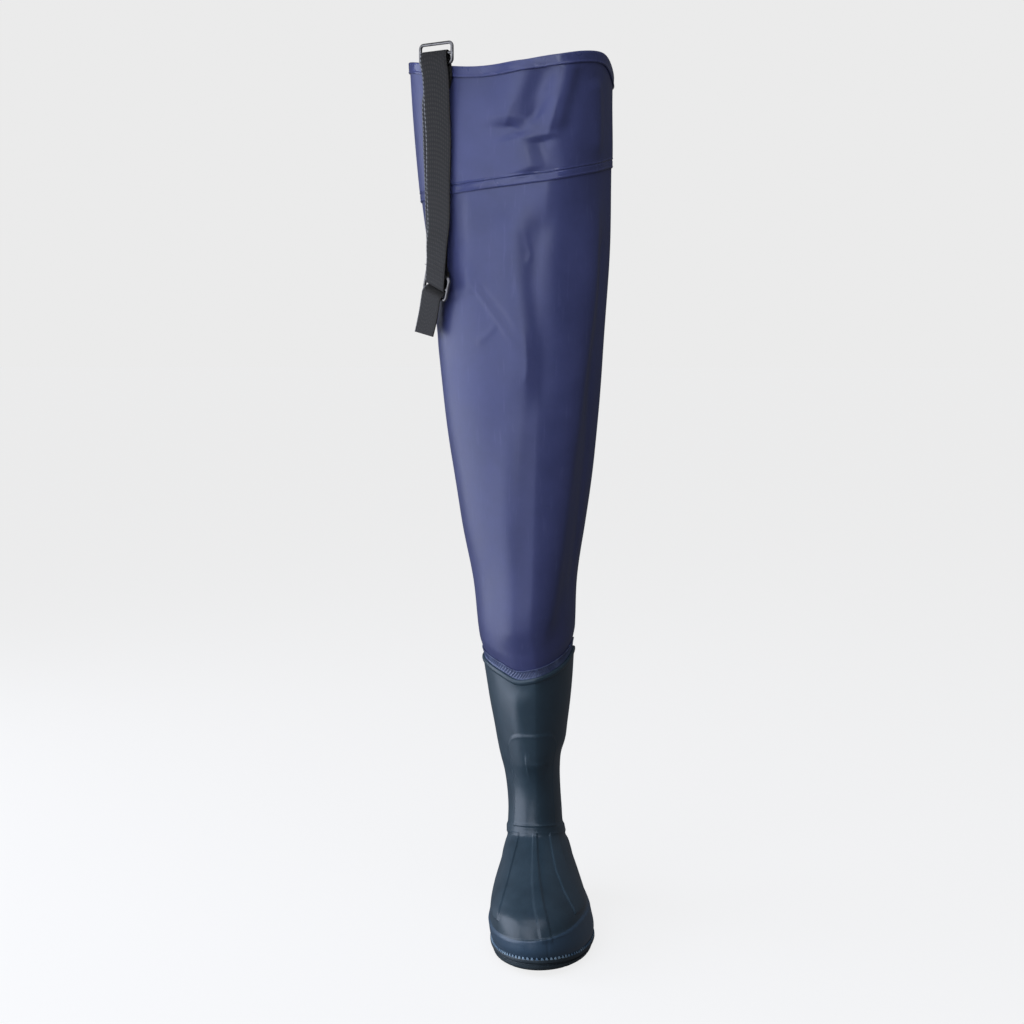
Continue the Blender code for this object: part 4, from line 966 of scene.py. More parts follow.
def make_outsole():
    rings = [sole_ring(row["inset"] * SIDE_STEP, row["height"], SOLE_TURNS)
             for row in table(SOLE_EDGE_COLUMNS, SOLE_EDGE_ROWS)]
    sole = wrapped("tread_sole", rings)
    close_ends(sole)
    apply_modifier(sole, "BEVEL", width=SOLE_CORNER, segments=2, limit_method="ANGLE",
                   angle_limit=math.radians(22))
    first = HEEL_BACK - FIRST_GROOVE * SOLE_LENGTH
    places = [first - step * LUG_PITCH for step in range(FOREFOOT_GROOVES)]
    places += [-(step + 0.5) * LUG_PITCH for step in range(HEEL_GROOVES)]
    cutters = [tread_cutter(y, LUG_GROOVE, float(sole_bottom(y)) + LUG_DEPTH, LUG_SLOPE)
               for y in places]
    cutters.append(tread_cutter(HEEL_BACK - ARCH_CENTRE * SOLE_LENGTH, ARCH_LENGTH, ARCH_RISE,
                                ARCH_SLOPE))
    for cutter in cutters:
        apply_modifier(sole, "BOOLEAN", operation="DIFFERENCE", solver="EXACT", object=cutter)
        bpy.data.objects.remove(cutter, do_unlink=True)
    smooth_below(sole, 32)
    return sole


MARK_PITCH = 5.0 * MM
MARK_SIZE = (3.2 * MM, 1.6 * MM, 2.4 * MM)
# A mark's top, as shares of its foot's length and width, how far it leans along the welt and
# how far it stands out, as shares of its own size
MARK_TOP = (0.55, 0.35)
MARK_LEAN, MARK_STAND = 0.15, 0.20
MARK_CORNER = 0.22 * MM
MARK_INSET = 0.35 * SIDE_STEP
WELT_POINTS = 2400


def make_welt_marks():
    """Moulded wedges along the welt's top, one modelled and the rest copied from it."""
    pick()
    bpy.ops.mesh.primitive_cube_add(size=1.0, scale=MARK_SIZE)
    mark = bpy.context.object
    bpy.ops.object.transform_apply(location=False, rotation=False, scale=True)
    for vert in mark.data.vertices:
        if vert.co.z > 0:
            vert.co.y *= MARK_TOP[1]
            vert.co.x *= MARK_TOP[0]
            vert.co.x += MARK_LEAN * MARK_SIZE[0]
    apply_modifier(mark, "BEVEL", width=MARK_CORNER, segments=2)
    turns = np.linspace(0.0, QUARTERS, WELT_POINTS, endpoint=False)
    ring = sole_ring(MARK_INSET, 1.0, turns)
    run = np.concatenate(([0.0], np.cumsum(np.linalg.norm(np.diff(ring, axis=0), axis=1))))
    count = int(run[-1] / MARK_PITCH)
    matrices = []
    for step in range(count):
        here = int(np.searchsorted(run, run[-1] * step / count))
        place, after = Vector(ring[here]), Vector(ring[(here + 2) % len(ring)])
        along = (after - place).normalized()
        up = Vector((0.0, 0.0, 1.0))
        up = (up - along * up.dot(along)).normalized()
        matrices.append(placement(along, up.cross(along), up,
                                  place + up * MARK_STAND * MARK_SIZE[2]))
    return repeated("welt_marks", mark, matrices)


# Strap and its two wire sliders, as in the solids
REAR_LIFT = 2 * SEAT_GAP + LEG_WALL + WEBBING_THICKNESS / 2
HEM_REAR_LIFT = REAR_LIFT + SEAT_GAP + LEG_WALL
WRAP = WIRE / 2 + SEAT_GAP + WEBBING_THICKNESS / 2
LAYER = WEBBING_THICKNESS + SEAT_GAP
RING_LIFT = HEM_REAR_LIFT + WRAP
ADJUSTER_LIFT = REAR_LIFT + LAYER + WRAP
BAR_PITCH = (ADJUSTER_HEIGHT - WIRE) / 2
# Rows of the webbing along each of its layers and round each bar
RUN_ROWS = 6
FOLD_STEPS = 6
# Radius and steps of the wire's corners
WIRE_BEND, WIRE_BEND_STEPS = 1.25 * WIRE, 6
# Quarter turns among which the strap's place on the leg is looked for
STRAP_SEARCH = np.linspace(0.02, 1.0, 99)


def strap_frame(height):
    """Place on the form under the strap, and its side, up and outward directions."""
    lowest = ADJUSTER_LEVEL + max(ADJUSTER_HEIGHT / 2, SEWN_END)
    held = min(max(height, lowest), COLLAR_HEIGHT - HEM_DEPTH)
    v = section_at(held)
    across = form_point(v, STRAP_SEARCH)[:, 0]
    u = float(np.interp(STRAP_PLACE, -across, STRAP_SEARCH))
    out = Vector(form_normal(v, np.array(u)))
    out.z = 0.0
    out.normalize()
    up = Vector((0.0, 0.0, 1.0))
    place = Vector(form_point(v, u)) + up * (height - held)
    return place, up.cross(out), up, out


def slider_matrix(level, lift, turn, swing):
    """Where a slider lies: across the strap, along it and out from the leg."""
    place, side, up, out = strap_frame(level)
    across = side * math.cos(turn) - up * math.sin(turn)
    along = up * math.cos(turn) + side * math.sin(turn)
    return placement(across, along, out, place + out * lift - side * swing)


def make_slider(name, height, matrix):
    """Wire frame from a plane with rounded corners, drawn out round, with a middle bar."""
    pick()
    bpy.ops.mesh.primitive_plane_add(size=1.0)
    wire = bpy.context.object
    wire.scale = (SLOT_WIDTH + WIRE, height - WIRE, 1.0)
    bpy.ops.object.transform_apply(location=False, rotation=False, scale=True)
    rounding = {"offset": WIRE_BEND, "segments": WIRE_BEND_STEPS, "affect": "VERTICES"}
    edit_whole(wire, (bpy.ops.mesh.bevel, rounding),
               (bpy.ops.mesh.delete, {"type": "ONLY_FACE"}))
    bpy.ops.object.convert(target="CURVE")
    wire = bpy.context.object
    wire.data.bevel_depth = WIRE / 2
    wire.data.bevel_resolution = 5
    bpy.ops.object.convert(target="MESH")
    wire = bpy.context.object
    wire.name = wire.data.name = name
    pick()
    bpy.ops.mesh.primitive_cylinder_add(vertices=24, radius=WIRE / 2, depth=SLOT_WIDTH + WIRE,
                                        rotation=(0.0, math.pi / 2, 0.0))
    bar = bpy.context.object
    bpy.ops.object.transform_apply(location=False, rotation=True, scale=False)
    apply_modifier(bar, "BEVEL", width=0.3 * WIRE, segments=3, limit_method="ANGLE")
    edit_whole(wire, FACE_OUTWARD)
    apply_modifier(wire, "BOOLEAN", operation="UNION", solver="EXACT", object=bar)
    bpy.data.objects.remove(bar, do_unlink=True)
    wire.data.transform(matrix)
    smooth_below(wire, 40)
    return wire


def fold(centre_height, centre_lift, start, end):
    """Height and lift of the webbing's middle round a bar, by angle from straight out."""
    places = []
    for step in range(FOLD_STEPS + 1):
        angle = math.radians(start + (end - start) * step / FOLD_STEPS)
        places.append((centre_height + WRAP * math.sin(angle),
                       centre_lift + WRAP * math.cos(angle)))
    return places


def strap_path():
    """Height, lift and share of the adjuster's turn along the webbing, from its sewn end.

    Up its front layer, over the ring's bar, down the rear layer, round the adjuster's foot and
    down the tail. The heights and lifts follow the wire, wrap and layer sizes."""
    adjuster, ring = ADJUSTER_LEVEL, RING_LEVEL
    hem_foot = COLLAR_HEIGHT - HEM_DEPTH
    front, over_ring = REAR_LIFT + 1.2 * LAYER, RING_LIFT + WRAP
    low_run, high_run = adjuster + 5 * BAR_PITCH, ring - 3.2 * RING_HEIGHT
    runs = [low_run + (high_run - low_run) * step / RUN_ROWS for step in range(1, RUN_ROWS)]
    return [
        (adjuster + SEWN_END, ADJUSTER_LIFT - WRAP, 1.0),
        *((height, lift, 1.0) for height, lift in fold(adjuster, ADJUSTER_LIFT, -180, 0)),
        (adjuster + 2 * BAR_PITCH, ADJUSTER_LIFT + WRAP, 0.9),
        (adjuster + 3.4 * BAR_PITCH, ADJUSTER_LIFT + 0.5 * WRAP, 0.4),
        (low_run, front + 0.4 * LAYER, 0.0),
        *((height, front, 0.0) for height in runs),
        (high_run, front + 0.3 * LAYER, 0.0),
        (ring - 1.9 * RING_HEIGHT, 0.35 * front + 0.65 * over_ring, 0.0),
        (ring - RING_HEIGHT, over_ring, 0.0),
        *((height, lift, 0.0) for height, lift in fold(ring, RING_LIFT, 0, 180)),
        (hem_foot - 0.3 * RING_HEIGHT, HEM_REAR_LIFT, 0.0),
        (hem_foot - RING_HEIGHT, REAR_LIFT, 0.0),
        (high_run, REAR_LIFT, 0.0),
        *((height, REAR_LIFT, 0.0) for height in runs[::-1]),
        (low_run, REAR_LIFT, 0.0),
        (adjuster + 1.4 * BAR_PITCH, REAR_LIFT, 0.4),
        (adjuster + 0.2 * BAR_PITCH, REAR_LIFT, 1.0),
        (adjuster - 0.33 * BAR_PITCH, REAR_LIFT + 0.7 * WEBBING_THICKNESS, 1.0),
        (adjuster - 0.56 * BAR_PITCH, ADJUSTER_LIFT - 0.1 * WRAP, 1.0),
        (adjuster - 0.76 * BAR_PITCH, ADJUSTER_LIFT + 0.75 * WRAP, 1.0),
        (adjuster - BAR_PITCH, ADJUSTER_LIFT + 1.05 * WRAP, 1.0),
        (adjuster - 1.35 * BAR_PITCH, ADJUSTER_LIFT + 0.9 * WRAP, 1.0),
        (adjuster - 0.5 * (BAR_PITCH + TAIL_LENGTH), ADJUSTER_LIFT + 0.3 * WRAP, 0.85),
        (adjuster - TAIL_LENGTH, ADJUSTER_LIFT, 0.5),
    ]


# The two layers of webbing have slipped apart sideways between the sliders
FRONT_SLIP, REAR_SLIP = 3.0 * MM, -3.2 * MM
SLIP_RISE, SLIP_FALL = 24 * MM, 30 * MM
TAIL_SWAY = 8 * MM


def strap_stations():
    """Centres and side directions along the webbing."""
    centres, sides = [], []
    for height, lift, share in strap_path():
        turn = ADJUSTER_TURN * share
        place, side, up, out = strap_frame(height)
        centre = place + out * lift - side * ADJUSTER_SWING * share
        front_layer = lift > REAR_LIFT + 0.5 * LAYER
        run = ease((height - ADJUSTER_LEVEL) / SLIP_RISE) * ease((RING_LEVEL - height) / SLIP_FALL)
        centre += side * (FRONT_SLIP if front_layer else REAR_SLIP) * float(run)
        if height < ADJUSTER_LEVEL:
            swing = ADJUSTER_SWING * (1.0 - share)
            swing += TAIL_SWAY * (ADJUSTER_LEVEL - height) / TAIL_LENGTH
            centre -= side * (math.tan(ADJUSTER_TURN) * (ADJUSTER_LEVEL - height) + swing)
        centres.append(centre)
        sides.append(side * math.cos(turn) - up * math.sin(turn))
    return np.array(centres), np.array(sides)


RIB_PITCH = 2.4 * MM
RIB_DEPTH = 0.10 * MM
RIB_INSET = 0.3 * MM
RIB_ROWS = 4
# Half of the webbing's section: place across it and thickness there, as shares
SECTION_COLUMNS = ("across", "thickness")
HALF_SECTION = table(SECTION_COLUMNS, (
    (-1.0, 0.0), (-0.94, 0.8), (-0.8, 1.0), (-0.6, 1.0), (-0.4, 1.0), (-0.2, 1.0), (0.0, 1.0),
    (0.2, 1.0), (0.4, 1.0), (0.6, 1.0), (0.8, 1.0), (0.94, 0.8), (1.0, 0.0)))
# Slight sideways sway along the webbing, in millimetres: height, length and phase
SWAY_COLUMNS = ("height", "length", "phase")
SWAYS = table(SWAY_COLUMNS, ((0.35, 31, 0.0), (0.25, 13, 1.0)))


def make_strap():
    """One length of webbing with ribs across and rounded selvages, wrapped along its path."""
    centres, sides = strap_stations()
    run = np.concatenate(([0.0], np.cumsum(np.linalg.norm(np.diff(centres, axis=0), axis=1))))
    count = int(run[-1] / RIB_PITCH) * RIB_ROWS
    even = np.linspace(0.0, run[-1], count + 1)
    slopes = np.gradient(centres, run, axis=0)
    low = np.clip(np.searchsorted(run, even, side="right") - 1, 0, len(run) - 2)
    gap = (run[low + 1] - run[low])[:, None]
    t = (even - run[low])[:, None] / gap
    middle = curve_between(t, gap, centres[low], slopes[low], centres[low + 1], slopes[low + 1])
    side = sides[low] * (1 - t) + sides[low + 1] * t
    side /= np.linalg.norm(side, axis=1, keepdims=True)
    along = np.gradient(middle, axis=0)
    along -= side * (along * side).sum(axis=1, keepdims=True)
    along /= np.linalg.norm(along, axis=1, keepdims=True)
    face = np.cross(side, along)
    valley = 0.5 - 0.5 * np.cos(2 * math.pi * np.arange(count + 1) / RIB_ROWS)
    sway = sum(row["height"] * MM * np.sin(even / (row["length"] * MM) + row["phase"])
               for row in SWAYS)
    under = HALF_SECTION[-2:0:-1]
    across = np.array([row["across"] for row in HALF_SECTION + under])
    thick = np.array([row["thickness"] for row in HALF_SECTION]
                     + [-row["thickness"] for row in under])
    rings = []
    for step in range(count + 1):
        depth = WEBBING_THICKNESS / 2 - RIB_DEPTH * valley[step]
        width = WEBBING_WIDTH / 2 - RIB_INSET * valley[step]
        rings.append(middle[step] + np.outer(across * width + sway[step], side[step])
                     + np.outer(thick * depth, face[step]))
    strap = wrapped("belt_strap", rings)
    close_ends(strap)
    return strap


STITCHES = 11
STITCH_LENGTH = 2.4 * MM
STITCH_MARGIN = 2 * MM
THREAD = 0.55 * MM
# The stitches follow this share of the adjuster's turn
STITCH_TURN = 0.75 * ADJUSTER_TURN


def make_strap_stitches():
    """Lock stitches across the sewn end, one bent and the rest copied from it."""
    pick()
    bpy.ops.mesh.primitive_cylinder_add(vertices=8, radius=THREAD / 2, depth=STITCH_LENGTH,
                                        rotation=(0.0, math.pi / 2, 0.0))
    stitch = bpy.context.object
    bpy.ops.object.transform_apply(location=False, rotation=True, scale=False)
    edit_whole(stitch, (bpy.ops.mesh.subdivide, {"number_cuts": 2}))
    for vert in stitch.data.vertices:
        vert.co.z += 0.5 * THREAD * (1.0 - (2 * vert.co.x / STITCH_LENGTH) ** 2)
    place, side, up, out = strap_frame(ADJUSTER_LEVEL + SEWN_END)
    across = side * math.cos(STITCH_TURN) - up * math.sin(STITCH_TURN)
    first = (place - side * ADJUSTER_SWING
             + out * (ADJUSTER_LIFT + WRAP + WEBBING_THICKNESS / 2))
    reach = WEBBING_WIDTH / 2 - STITCH_MARGIN
    return repeated("strap_stitches", stitch, [
        placement(across, out.cross(across), out, first + across * offset)
        for offset in np.linspace(-reach, reach, STITCHES)])


# Finishes
def linear(hex_colour):
    """Linear colour, with alpha, from an sRGB hex value."""
    parts = [int(hex_colour[place:place + 2], 16) / 255 for place in (1, 3, 5)]
    return tuple(p / 12.92 if p <= 0.04045 else ((p + 0.055) / 1.055) ** 2.4
                 for p in parts) + (1.0,)


def add_node(tree, kind, settings=None, links=None):
    """A node with its settings, by property or input, and its links, input to (node, output)."""
    node = tree.nodes.new(kind)
    for name, value in (settings or {}).items():
        if isinstance(name, int) or name in node.inputs:
            node.inputs[name].default_value = value
        else:
            setattr(node, name, value)
    for name, (source, output) in (links or {}).items():
        tree.links.new(source.outputs[output], node.inputs[name])
    return node


def new_finish(name, settings):
    """Node material with its shader's plain values set."""
    material = bpy.data.materials.new(name)
    material.use_nodes = True
    tree = material.node_tree
    shader = tree.nodes["Principled BSDF"]
    for socket, value in settings.items():
        shader.inputs[socket].default_value = value
    return material, tree, shader


def ramp(tree, source, stops):
    """Colour ramp over a source, from stops of place and colour."""
    node = add_node(tree, "ShaderNodeValToRGB", links={"Fac": source})
    elements = node.color_ramp.elements
    while len(elements) < len(stops):
        elements.new(0.5)
    for element, (place, colour) in zip(elements, stops):
        element.position = place
        element.color = colour
    return node


def grey(value):
    return (value, value, value, 1.0)


def drive(tree, shader, socket, source, stops):
    """Sets one of the shader's inputs by a ramp over a source."""
    tree.links.new(ramp(tree, source, stops).outputs["Color"], shader.inputs[socket])


def emboss(tree, shader, *layers):
    """Bumps laid one on another, from layers of strength, depth and source."""
    below = {}
    for strength, depth, source in layers:
        bump = add_node(tree, "ShaderNodeBump", {"Strength": strength, "Distance": depth},
                        {"Height": source, **below})
        below = {"Normal": (bump, "Normal")}
    tree.links.new(bump.outputs["Normal"], shader.inputs["Normal"])


def coated_fabric_finish():
    """Plastic-coated polyester: a soft coat over a fine weave. The coat gives broad satin
    highlights, the weave a faint grain in them, and wear leaves paler scuffs."""
    material, tree, shader = new_finish("coated polyester, calendered and welded", {
        "IOR": 1.49, "Specular IOR Level": 0.45, "Coat Weight": 0.12, "Coat Roughness": 0.35})
    place = add_node(tree, "ShaderNodeTexCoord")
    # Clouds of wear, about 60 mm across
    cloud = add_node(tree, "ShaderNodeTexNoise", {"Scale": 16.0, "Detail": 4.0, "Roughness": 0.6},
                     {"Vector": (place, "Object")})
    # Scuffs drawn out along the leg, about 4 mm by 35 mm
    stretch = add_node(tree, "ShaderNodeMapping", {"Scale": (1.0, 1.0, 0.12)},
                       {"Vector": (place, "Object")})
    scuff = add_node(tree, "ShaderNodeTexNoise", {"Scale": 240.0, "Detail": 3.0},
                     {"Vector": (stretch, "Vector")})
    navy = ramp(tree, (cloud, "Fac"), ((0.30, linear("#444972")), (0.72, linear("#4e5380"))))
    pale = ramp(tree, (scuff, "Fac"), ((0.60, grey(0.0)), (0.80, grey(0.22))))
    colour = add_node(tree, "ShaderNodeMix", {"data_type": "RGBA", 7: linear("#6c719c")},
                      {0: (pale, "Color"), 6: (navy, "Color")})
    tree.links.new(colour.outputs[2], shader.inputs["Base Color"])
    gloss = ramp(tree, (cloud, "Fac"), ((0.30, grey(0.36)), (0.75, grey(0.50))))
    # The weld along each piece's lower edge has melted the coat smooth in places
    metres = add_node(tree, "ShaderNodeUVMap", {"uv_map": "Metres"})
    up = add_node(tree, "ShaderNodeSeparateXYZ", links={"Vector": (metres, "UV")})
    welded = add_node(tree, "ShaderNodeMath", {"operation": "LESS_THAN", 1: WELD_TOP},
                      {0: (up, "Y")})
    melted = ramp(tree, (cloud, "Fac"), ((0.42, grey(0.30)), (0.56, grey(0.09))))
    rough = add_node(tree, "ShaderNodeMix", {"data_type": "RGBA"},
                     {0: (welded, 0), 6: (gloss, "Color"), 7: (melted, "Color")})
    tree.links.new(rough.outputs[2], shader.inputs["Roughness"])
    # The weave's threads are 0.5 mm apart. They are drawn 1.8 mm apart, so that they show.
    grain = add_node(tree, "ShaderNodeTexVoronoi", {"Scale": 560.0}, {"Vector": (metres, "UV")})
    # Crumples of the worn sheet, about 14 mm across
    crumple = add_node(tree, "ShaderNodeTexNoise", {"Scale": 70.0, "Detail": 5.0,
                                                    "Roughness": 0.55, "Distortion": 0.6},
                       {"Vector": (place, "Object")})
    emboss(tree, shader, (0.14, 1.6 * MM, (crumple, "Fac")), (0.06, 0.4 * MM, (grain, "Distance")))
    return material


# The rand's top line across the forefoot, as its middle height and its slope towards +X
RAND_LEVEL, RAND_SLOPE = 37.6 * MM, 0.115


def boot_plastic_finish():
    """Soft PVC, injection-moulded: a dark even petrol with an oily gloss and slight flow."""
    material, tree, shader = new_finish("soft PVC, injection moulded", {
        "IOR": 1.53, "Specular IOR Level": 0.5, "Coat Weight": 0.24, "Coat Roughness": 0.22})
    place = add_node(tree, "ShaderNodeTexCoord")
    # Flow marks, about 45 mm across
    flow = add_node(tree, "ShaderNodeTexNoise", {"Scale": 22.0, "Detail": 5.0, "Roughness": 0.6},
                    {"Vector": (place, "Object")})
    petrol = ramp(tree, (flow, "Fac"), ((0.30, linear("#2d404b")), (0.75, linear("#3a4f5b"))))
    # The rand is bluer and a little paler than the vamp above it
    metres = add_node(tree, "ShaderNodeSeparateXYZ", links={"Vector": (place, "Object")})
    rand_top = add_node(tree, "ShaderNodeMath", {"operation": "MULTIPLY_ADD", 1: RAND_SLOPE,
                                                 2: RAND_LEVEL}, {0: (metres, "X")})
    below = add_node(tree, "ShaderNodeMath", {"operation": "LESS_THAN"},
                     {0: (metres, "Z"), 1: (rand_top, 0)})
    colour = add_node(tree, "ShaderNodeMix", {"data_type": "RGBA", 7: linear("#3f576b")},
                      {0: (below, 0), 6: (petrol, "Color")})
    tree.links.new(colour.outputs[2], shader.inputs["Base Color"])
    drive(tree, shader, "Roughness", (flow, "Fac"), ((0.30, grey(0.40)), (0.75, grey(0.52))))
    # Spark texture of the mould, 0.3 mm grains drawn 1.4 mm across
    skin = add_node(tree, "ShaderNodeTexNoise", {"Scale": 700.0, "Detail": 2.0},
                    {"Vector": (place, "Object")})
    # Slight waves of the moulded skin, about 18 mm across
    wave = add_node(tree, "ShaderNodeTexNoise", {"Scale": 55.0, "Detail": 2.0},
                    {"Vector": (place, "Object")})
    emboss(tree, shader, (0.25, 1.0 * MM, (wave, "Fac")), (0.08, 0.3 * MM, (skin, "Fac")))
    return material


def welt_glint_finish():
    """Soft PVC in small moulded wedges, coloured pale as a painted highlight: they read as a dotted
    line of glints.
    """
    material, tree, shader = new_finish("soft PVC, moulded, with painted glints", {
        "IOR": 1.53, "Specular IOR Level": 0.5})
    place = add_node(tree, "ShaderNodeTexCoord")
    # Patches of the painted highlight, about 18 mm long
    painted_glint = add_node(tree, "ShaderNodeTexNoise", {"Scale": 55.0, "Detail": 3.0},
                   {"Vector": (place, "Object")})
    # Pale light blue: a painted highlight standing in for glints on the wedges
    drive(tree, shader, "Base Color", (painted_glint, "Fac"),
          ((0.35, linear("#5d7f9b")), (0.65, linear("#9db6c6"))))
    drive(tree, shader, "Roughness", (painted_glint, "Fac"), ((0.35, grey(0.35)), (0.65, grey(0.50))))
    return material


def weld_band_finish():
    """PVC band, hot-knurled: its own navy tone, lifted paler than the leg partly as a painted
    highlight on its rib crests, with gloss in patches along its ribs.
    """
    material, tree, shader = new_finish("PVC band, hot knurled", {
        "IOR": 1.53, "Specular IOR Level": 0.5, "Coat Weight": 0.15, "Coat Roughness": 0.25})
    place = add_node(tree, "ShaderNodeTexCoord")
    # Patches of melt, about 11 mm across
    cloud = add_node(tree, "ShaderNodeTexNoise", {"Scale": 90.0, "Detail": 3.0},
                     {"Vector": (place, "Object")})
    # Pale navy: partly the band's own tone and partly a painted highlight on the rib crests, varied
    # by the melt patches
    drive(tree, shader, "Base Color", (cloud, "Fac"),
          ((0.35, linear("#465072")), (0.70, linear("#6a7699"))))
    drive(tree, shader, "Roughness", (cloud, "Fac"), ((0.35, grey(0.30)), (0.70, grey(0.45))))
    emboss(tree, shader, (0.15, 0.4 * MM, (cloud, "Fac")))
    return material


def tread_rubber_finish():
    """Nitrile PVC tread, moulded: greenish black, dull, with rubbed and dusty patches."""
    material, tree, shader = new_finish("tread rubber, moulded", {
        "IOR": 1.52, "Specular IOR Level": 0.4})
    place = add_node(tree, "ShaderNodeTexCoord")
    # Dust and rubbing, about 17 mm across
    dust = add_node(tree, "ShaderNodeTexNoise", {"Scale": 60.0, "Detail": 6.0, "Roughness": 0.65},
                    {"Vector": (place, "Object")})
    drive(tree, shader, "Base Color", (dust, "Fac"),
          ((0.35, linear("#333e44")), (0.75, linear("#424e54"))))
    drive(tree, shader, "Roughness", (dust, "Fac"), ((0.35, grey(0.42)), (0.75, grey(0.62))))
    # Grainy skin of the mould, drawn 1.1 mm across
    grit = add_node(tree, "ShaderNodeTexNoise", {"Scale": 900.0, "Detail": 2.0},
                    {"Vector": (place, "Object")})
    emboss(tree, shader, (0.25, 0.4 * MM, (grit, "Fac")))
    return material


# How far in from the webbing's edges its paler yarns reach
SELVAGE = 2.2 * MM


def webbing_finish():
    """Polypropylene webbing, woven: ribbed black with a dry sheen and paler selvage yarns."""
    material, tree, shader = new_finish("polypropylene webbing, woven", {
        "IOR": 1.49, "Roughness": 0.62, "Specular IOR Level": 0.25, "Sheen Weight": 0.08,
        "Sheen Roughness": 0.45})
    metres = add_node(tree, "ShaderNodeUVMap", {"uv_map": "Metres"})
    parts = add_node(tree, "ShaderNodeSeparateXYZ", links={"Vector": (metres, "UV")})
    # Yarns lie 0.8 mm apart across the webbing and are drawn 3.2 mm apart. The ribs' tone
    # changes every 4.8 mm, at every second rib, so that it shows.
    yarn = add_node(tree, "ShaderNodeTexWave", {"Scale": 98.0, "Distortion": 0.4,
                                                "Detail": 1.0, "bands_direction": "X"},
                    {"Vector": (metres, "UV")})
    rib = add_node(tree, "ShaderNodeTexWave", {"Scale": 65.5, "Distortion": 0.3,
                                               "bands_direction": "Y"},
                   {"Vector": (metres, "UV")})
    both = add_node(tree, "ShaderNodeMath", {"operation": "MULTIPLY"},
                    {0: (yarn, "Fac"), 1: (rib, "Fac")})
    black = ramp(tree, (both, 0), ((0.0, linear("#201e1c")), (1.0, linear("#33302c"))))
    # The selvage yarns show as a paler broken line
    from_edge = add_node(tree, "ShaderNodeMath", {"operation": "PINGPONG", 1: WEBBING_WIDTH},
                         {0: (parts, "X")})
    edge = add_node(tree, "ShaderNodeMath", {"operation": "LESS_THAN", 1: SELVAGE},
                    {0: (from_edge, 0)})
    dots = add_node(tree, "ShaderNodeMath", {"operation": "MULTIPLY"},
                    {0: (edge, 0), 1: (rib, "Fac")})
    colour = add_node(tree, "ShaderNodeMix", {"data_type": "RGBA", 7: linear("#8c8c8e")},
                      {0: (dots, 0), 6: (black, "Color")})
    tree.links.new(colour.outputs[2], shader.inputs["Base Color"])
    emboss(tree, shader, (0.5, 0.3 * MM, (both, 0)))
    return material


def gunmetal_finish():
    """Steel wire, gunmetal plated: a grey satin metal with small handling marks."""
    material, tree, shader = new_finish("steel wire, gunmetal plated", {"Metallic": 1.0})
    place = add_node(tree, "ShaderNodeTexCoord")
    # Handling marks, about 8 mm across
    marks = add_node(tree, "ShaderNodeTexNoise", {"Scale": 120.0, "Detail": 3.0},
                     {"Vector": (place, "Object")})
    drive(tree, shader, "Base Color", (marks, "Fac"),
          ((0.35, linear("#6f6c69")), (0.70, linear("#8e8b88"))))
    drive(tree, shader, "Roughness", (marks, "Fac"), ((0.35, grey(0.34)), (0.70, grey(0.46))))
    emboss(tree, shader, (0.04, 0.2 * MM, (marks, "Fac")))
    return material


def felt_finish():
    """Polyester felt, needle punched: matt grey fibres with a soft sheen."""
    material, tree, shader = new_finish("polyester felt, needle punched", {
        "IOR": 1.5, "Roughness": 0.9, "Sheen Weight": 0.3})
    place = add_node(tree, "ShaderNodeTexCoord")
    # Tufts of fibre, drawn 2 mm across
    fibre = add_node(tree, "ShaderNodeTexNoise", {"Scale": 500.0, "Detail": 5.0},
                     {"Vector": (place, "Object")})
    drive(tree, shader, "Base Color", (fibre, "Fac"),
          ((0.35, linear("#6b6b6e")), (0.70, linear("#8a8a8d"))))
    emboss(tree, shader, (0.5, 0.5 * MM, (fibre, "Fac")))
    return material


def thread_finish():
    """Polyester thread, twisted: grey-black with a low sheen."""
    material, tree, shader = new_finish("polyester thread, twisted", {
        "IOR": 1.5, "Roughness": 0.55, "Sheen Weight": 0.2})
    place = add_node(tree, "ShaderNodeTexCoord")
    # Turns of the twist, 0.35 mm apart
    twist = add_node(tree, "ShaderNodeTexWave", {"Scale": 900.0, "Distortion": 1.0},
                     {"Vector": (place, "Object")})
    drive(tree, shader, "Base Color", (twist, "Fac"),
          ((0.0, linear("#3a3a3c")), (1.0, linear("#6a6a6c"))))
    return material


def dress(piece, material, node=None):
    """Gives a piece its finish and ties it to the frame."""
    piece.data.materials.clear()
    piece.data.materials.append(material)
    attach(piece, "root")
    if node:
        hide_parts(node)
    return piece


# Camera at the photograph's place, at thigh height and a little to the medial side, with its
# tilt down and its turn to the lateral side in degrees
CAMERA_PLACE = (0.1048, -2.0003, 0.6543)
CAMERA_TILT, CAMERA_TURN = 5.817, 3.0
CAMERA_LENS, CAMERA_SENSOR, CAMERA_SHIFT = 62.44, 36.0, -0.0269

# Lights: place and target in metres, size in metres, power in watts, spread in degrees. The
# fill's narrow spread keeps it off the boot.
LIGHT_COLUMNS = ("name", "place", "target", "size", "power", "spread")
LIGHTS = (
    ("key", (-1.0, -1.65, 0.9), (0.0, 0.0, 0.5), 1.7, 14.0, 180.0),
    ("side", (-1.65, 0.0, 0.45), (0.0, 0.0, 0.4), 2.0, 25.0, 180.0),
    ("overhead", (-0.3, -0.9, 2.3), (0.0, 0.0, 0.2), 2.6, 21.0, 180.0),
    ("thigh fill", (0.15, -2.5, 1.45), (0.0, 0.0, 0.78), 0.8, 0.3, 24.0),
)
DAYLIGHT, SKY = "#e4ecff", "#eef2ff"
SKY_STRENGTH, BACKDROP_WHITE, PAPER_GLOW = 0.10, 0.83, 0.81
FLOOR_SIZE, FLOOR_PLACE = 40.0, (0.0, 10.0, -0.4 * MM)


def add_camera():
    data = bpy.data.cameras.new("camera")
    data.lens, data.sensor_width = CAMERA_LENS, CAMERA_SENSOR
    data.shift_x = CAMERA_SHIFT
    camera = bpy.data.objects.new("camera", data)
    camera.location = CAMERA_PLACE
    camera.rotation_euler = (math.radians(90.0 - CAMERA_TILT), 0.0, math.radians(CAMERA_TURN))
    bpy.context.collection.objects.link(camera)
    bpy.context.scene.camera = camera


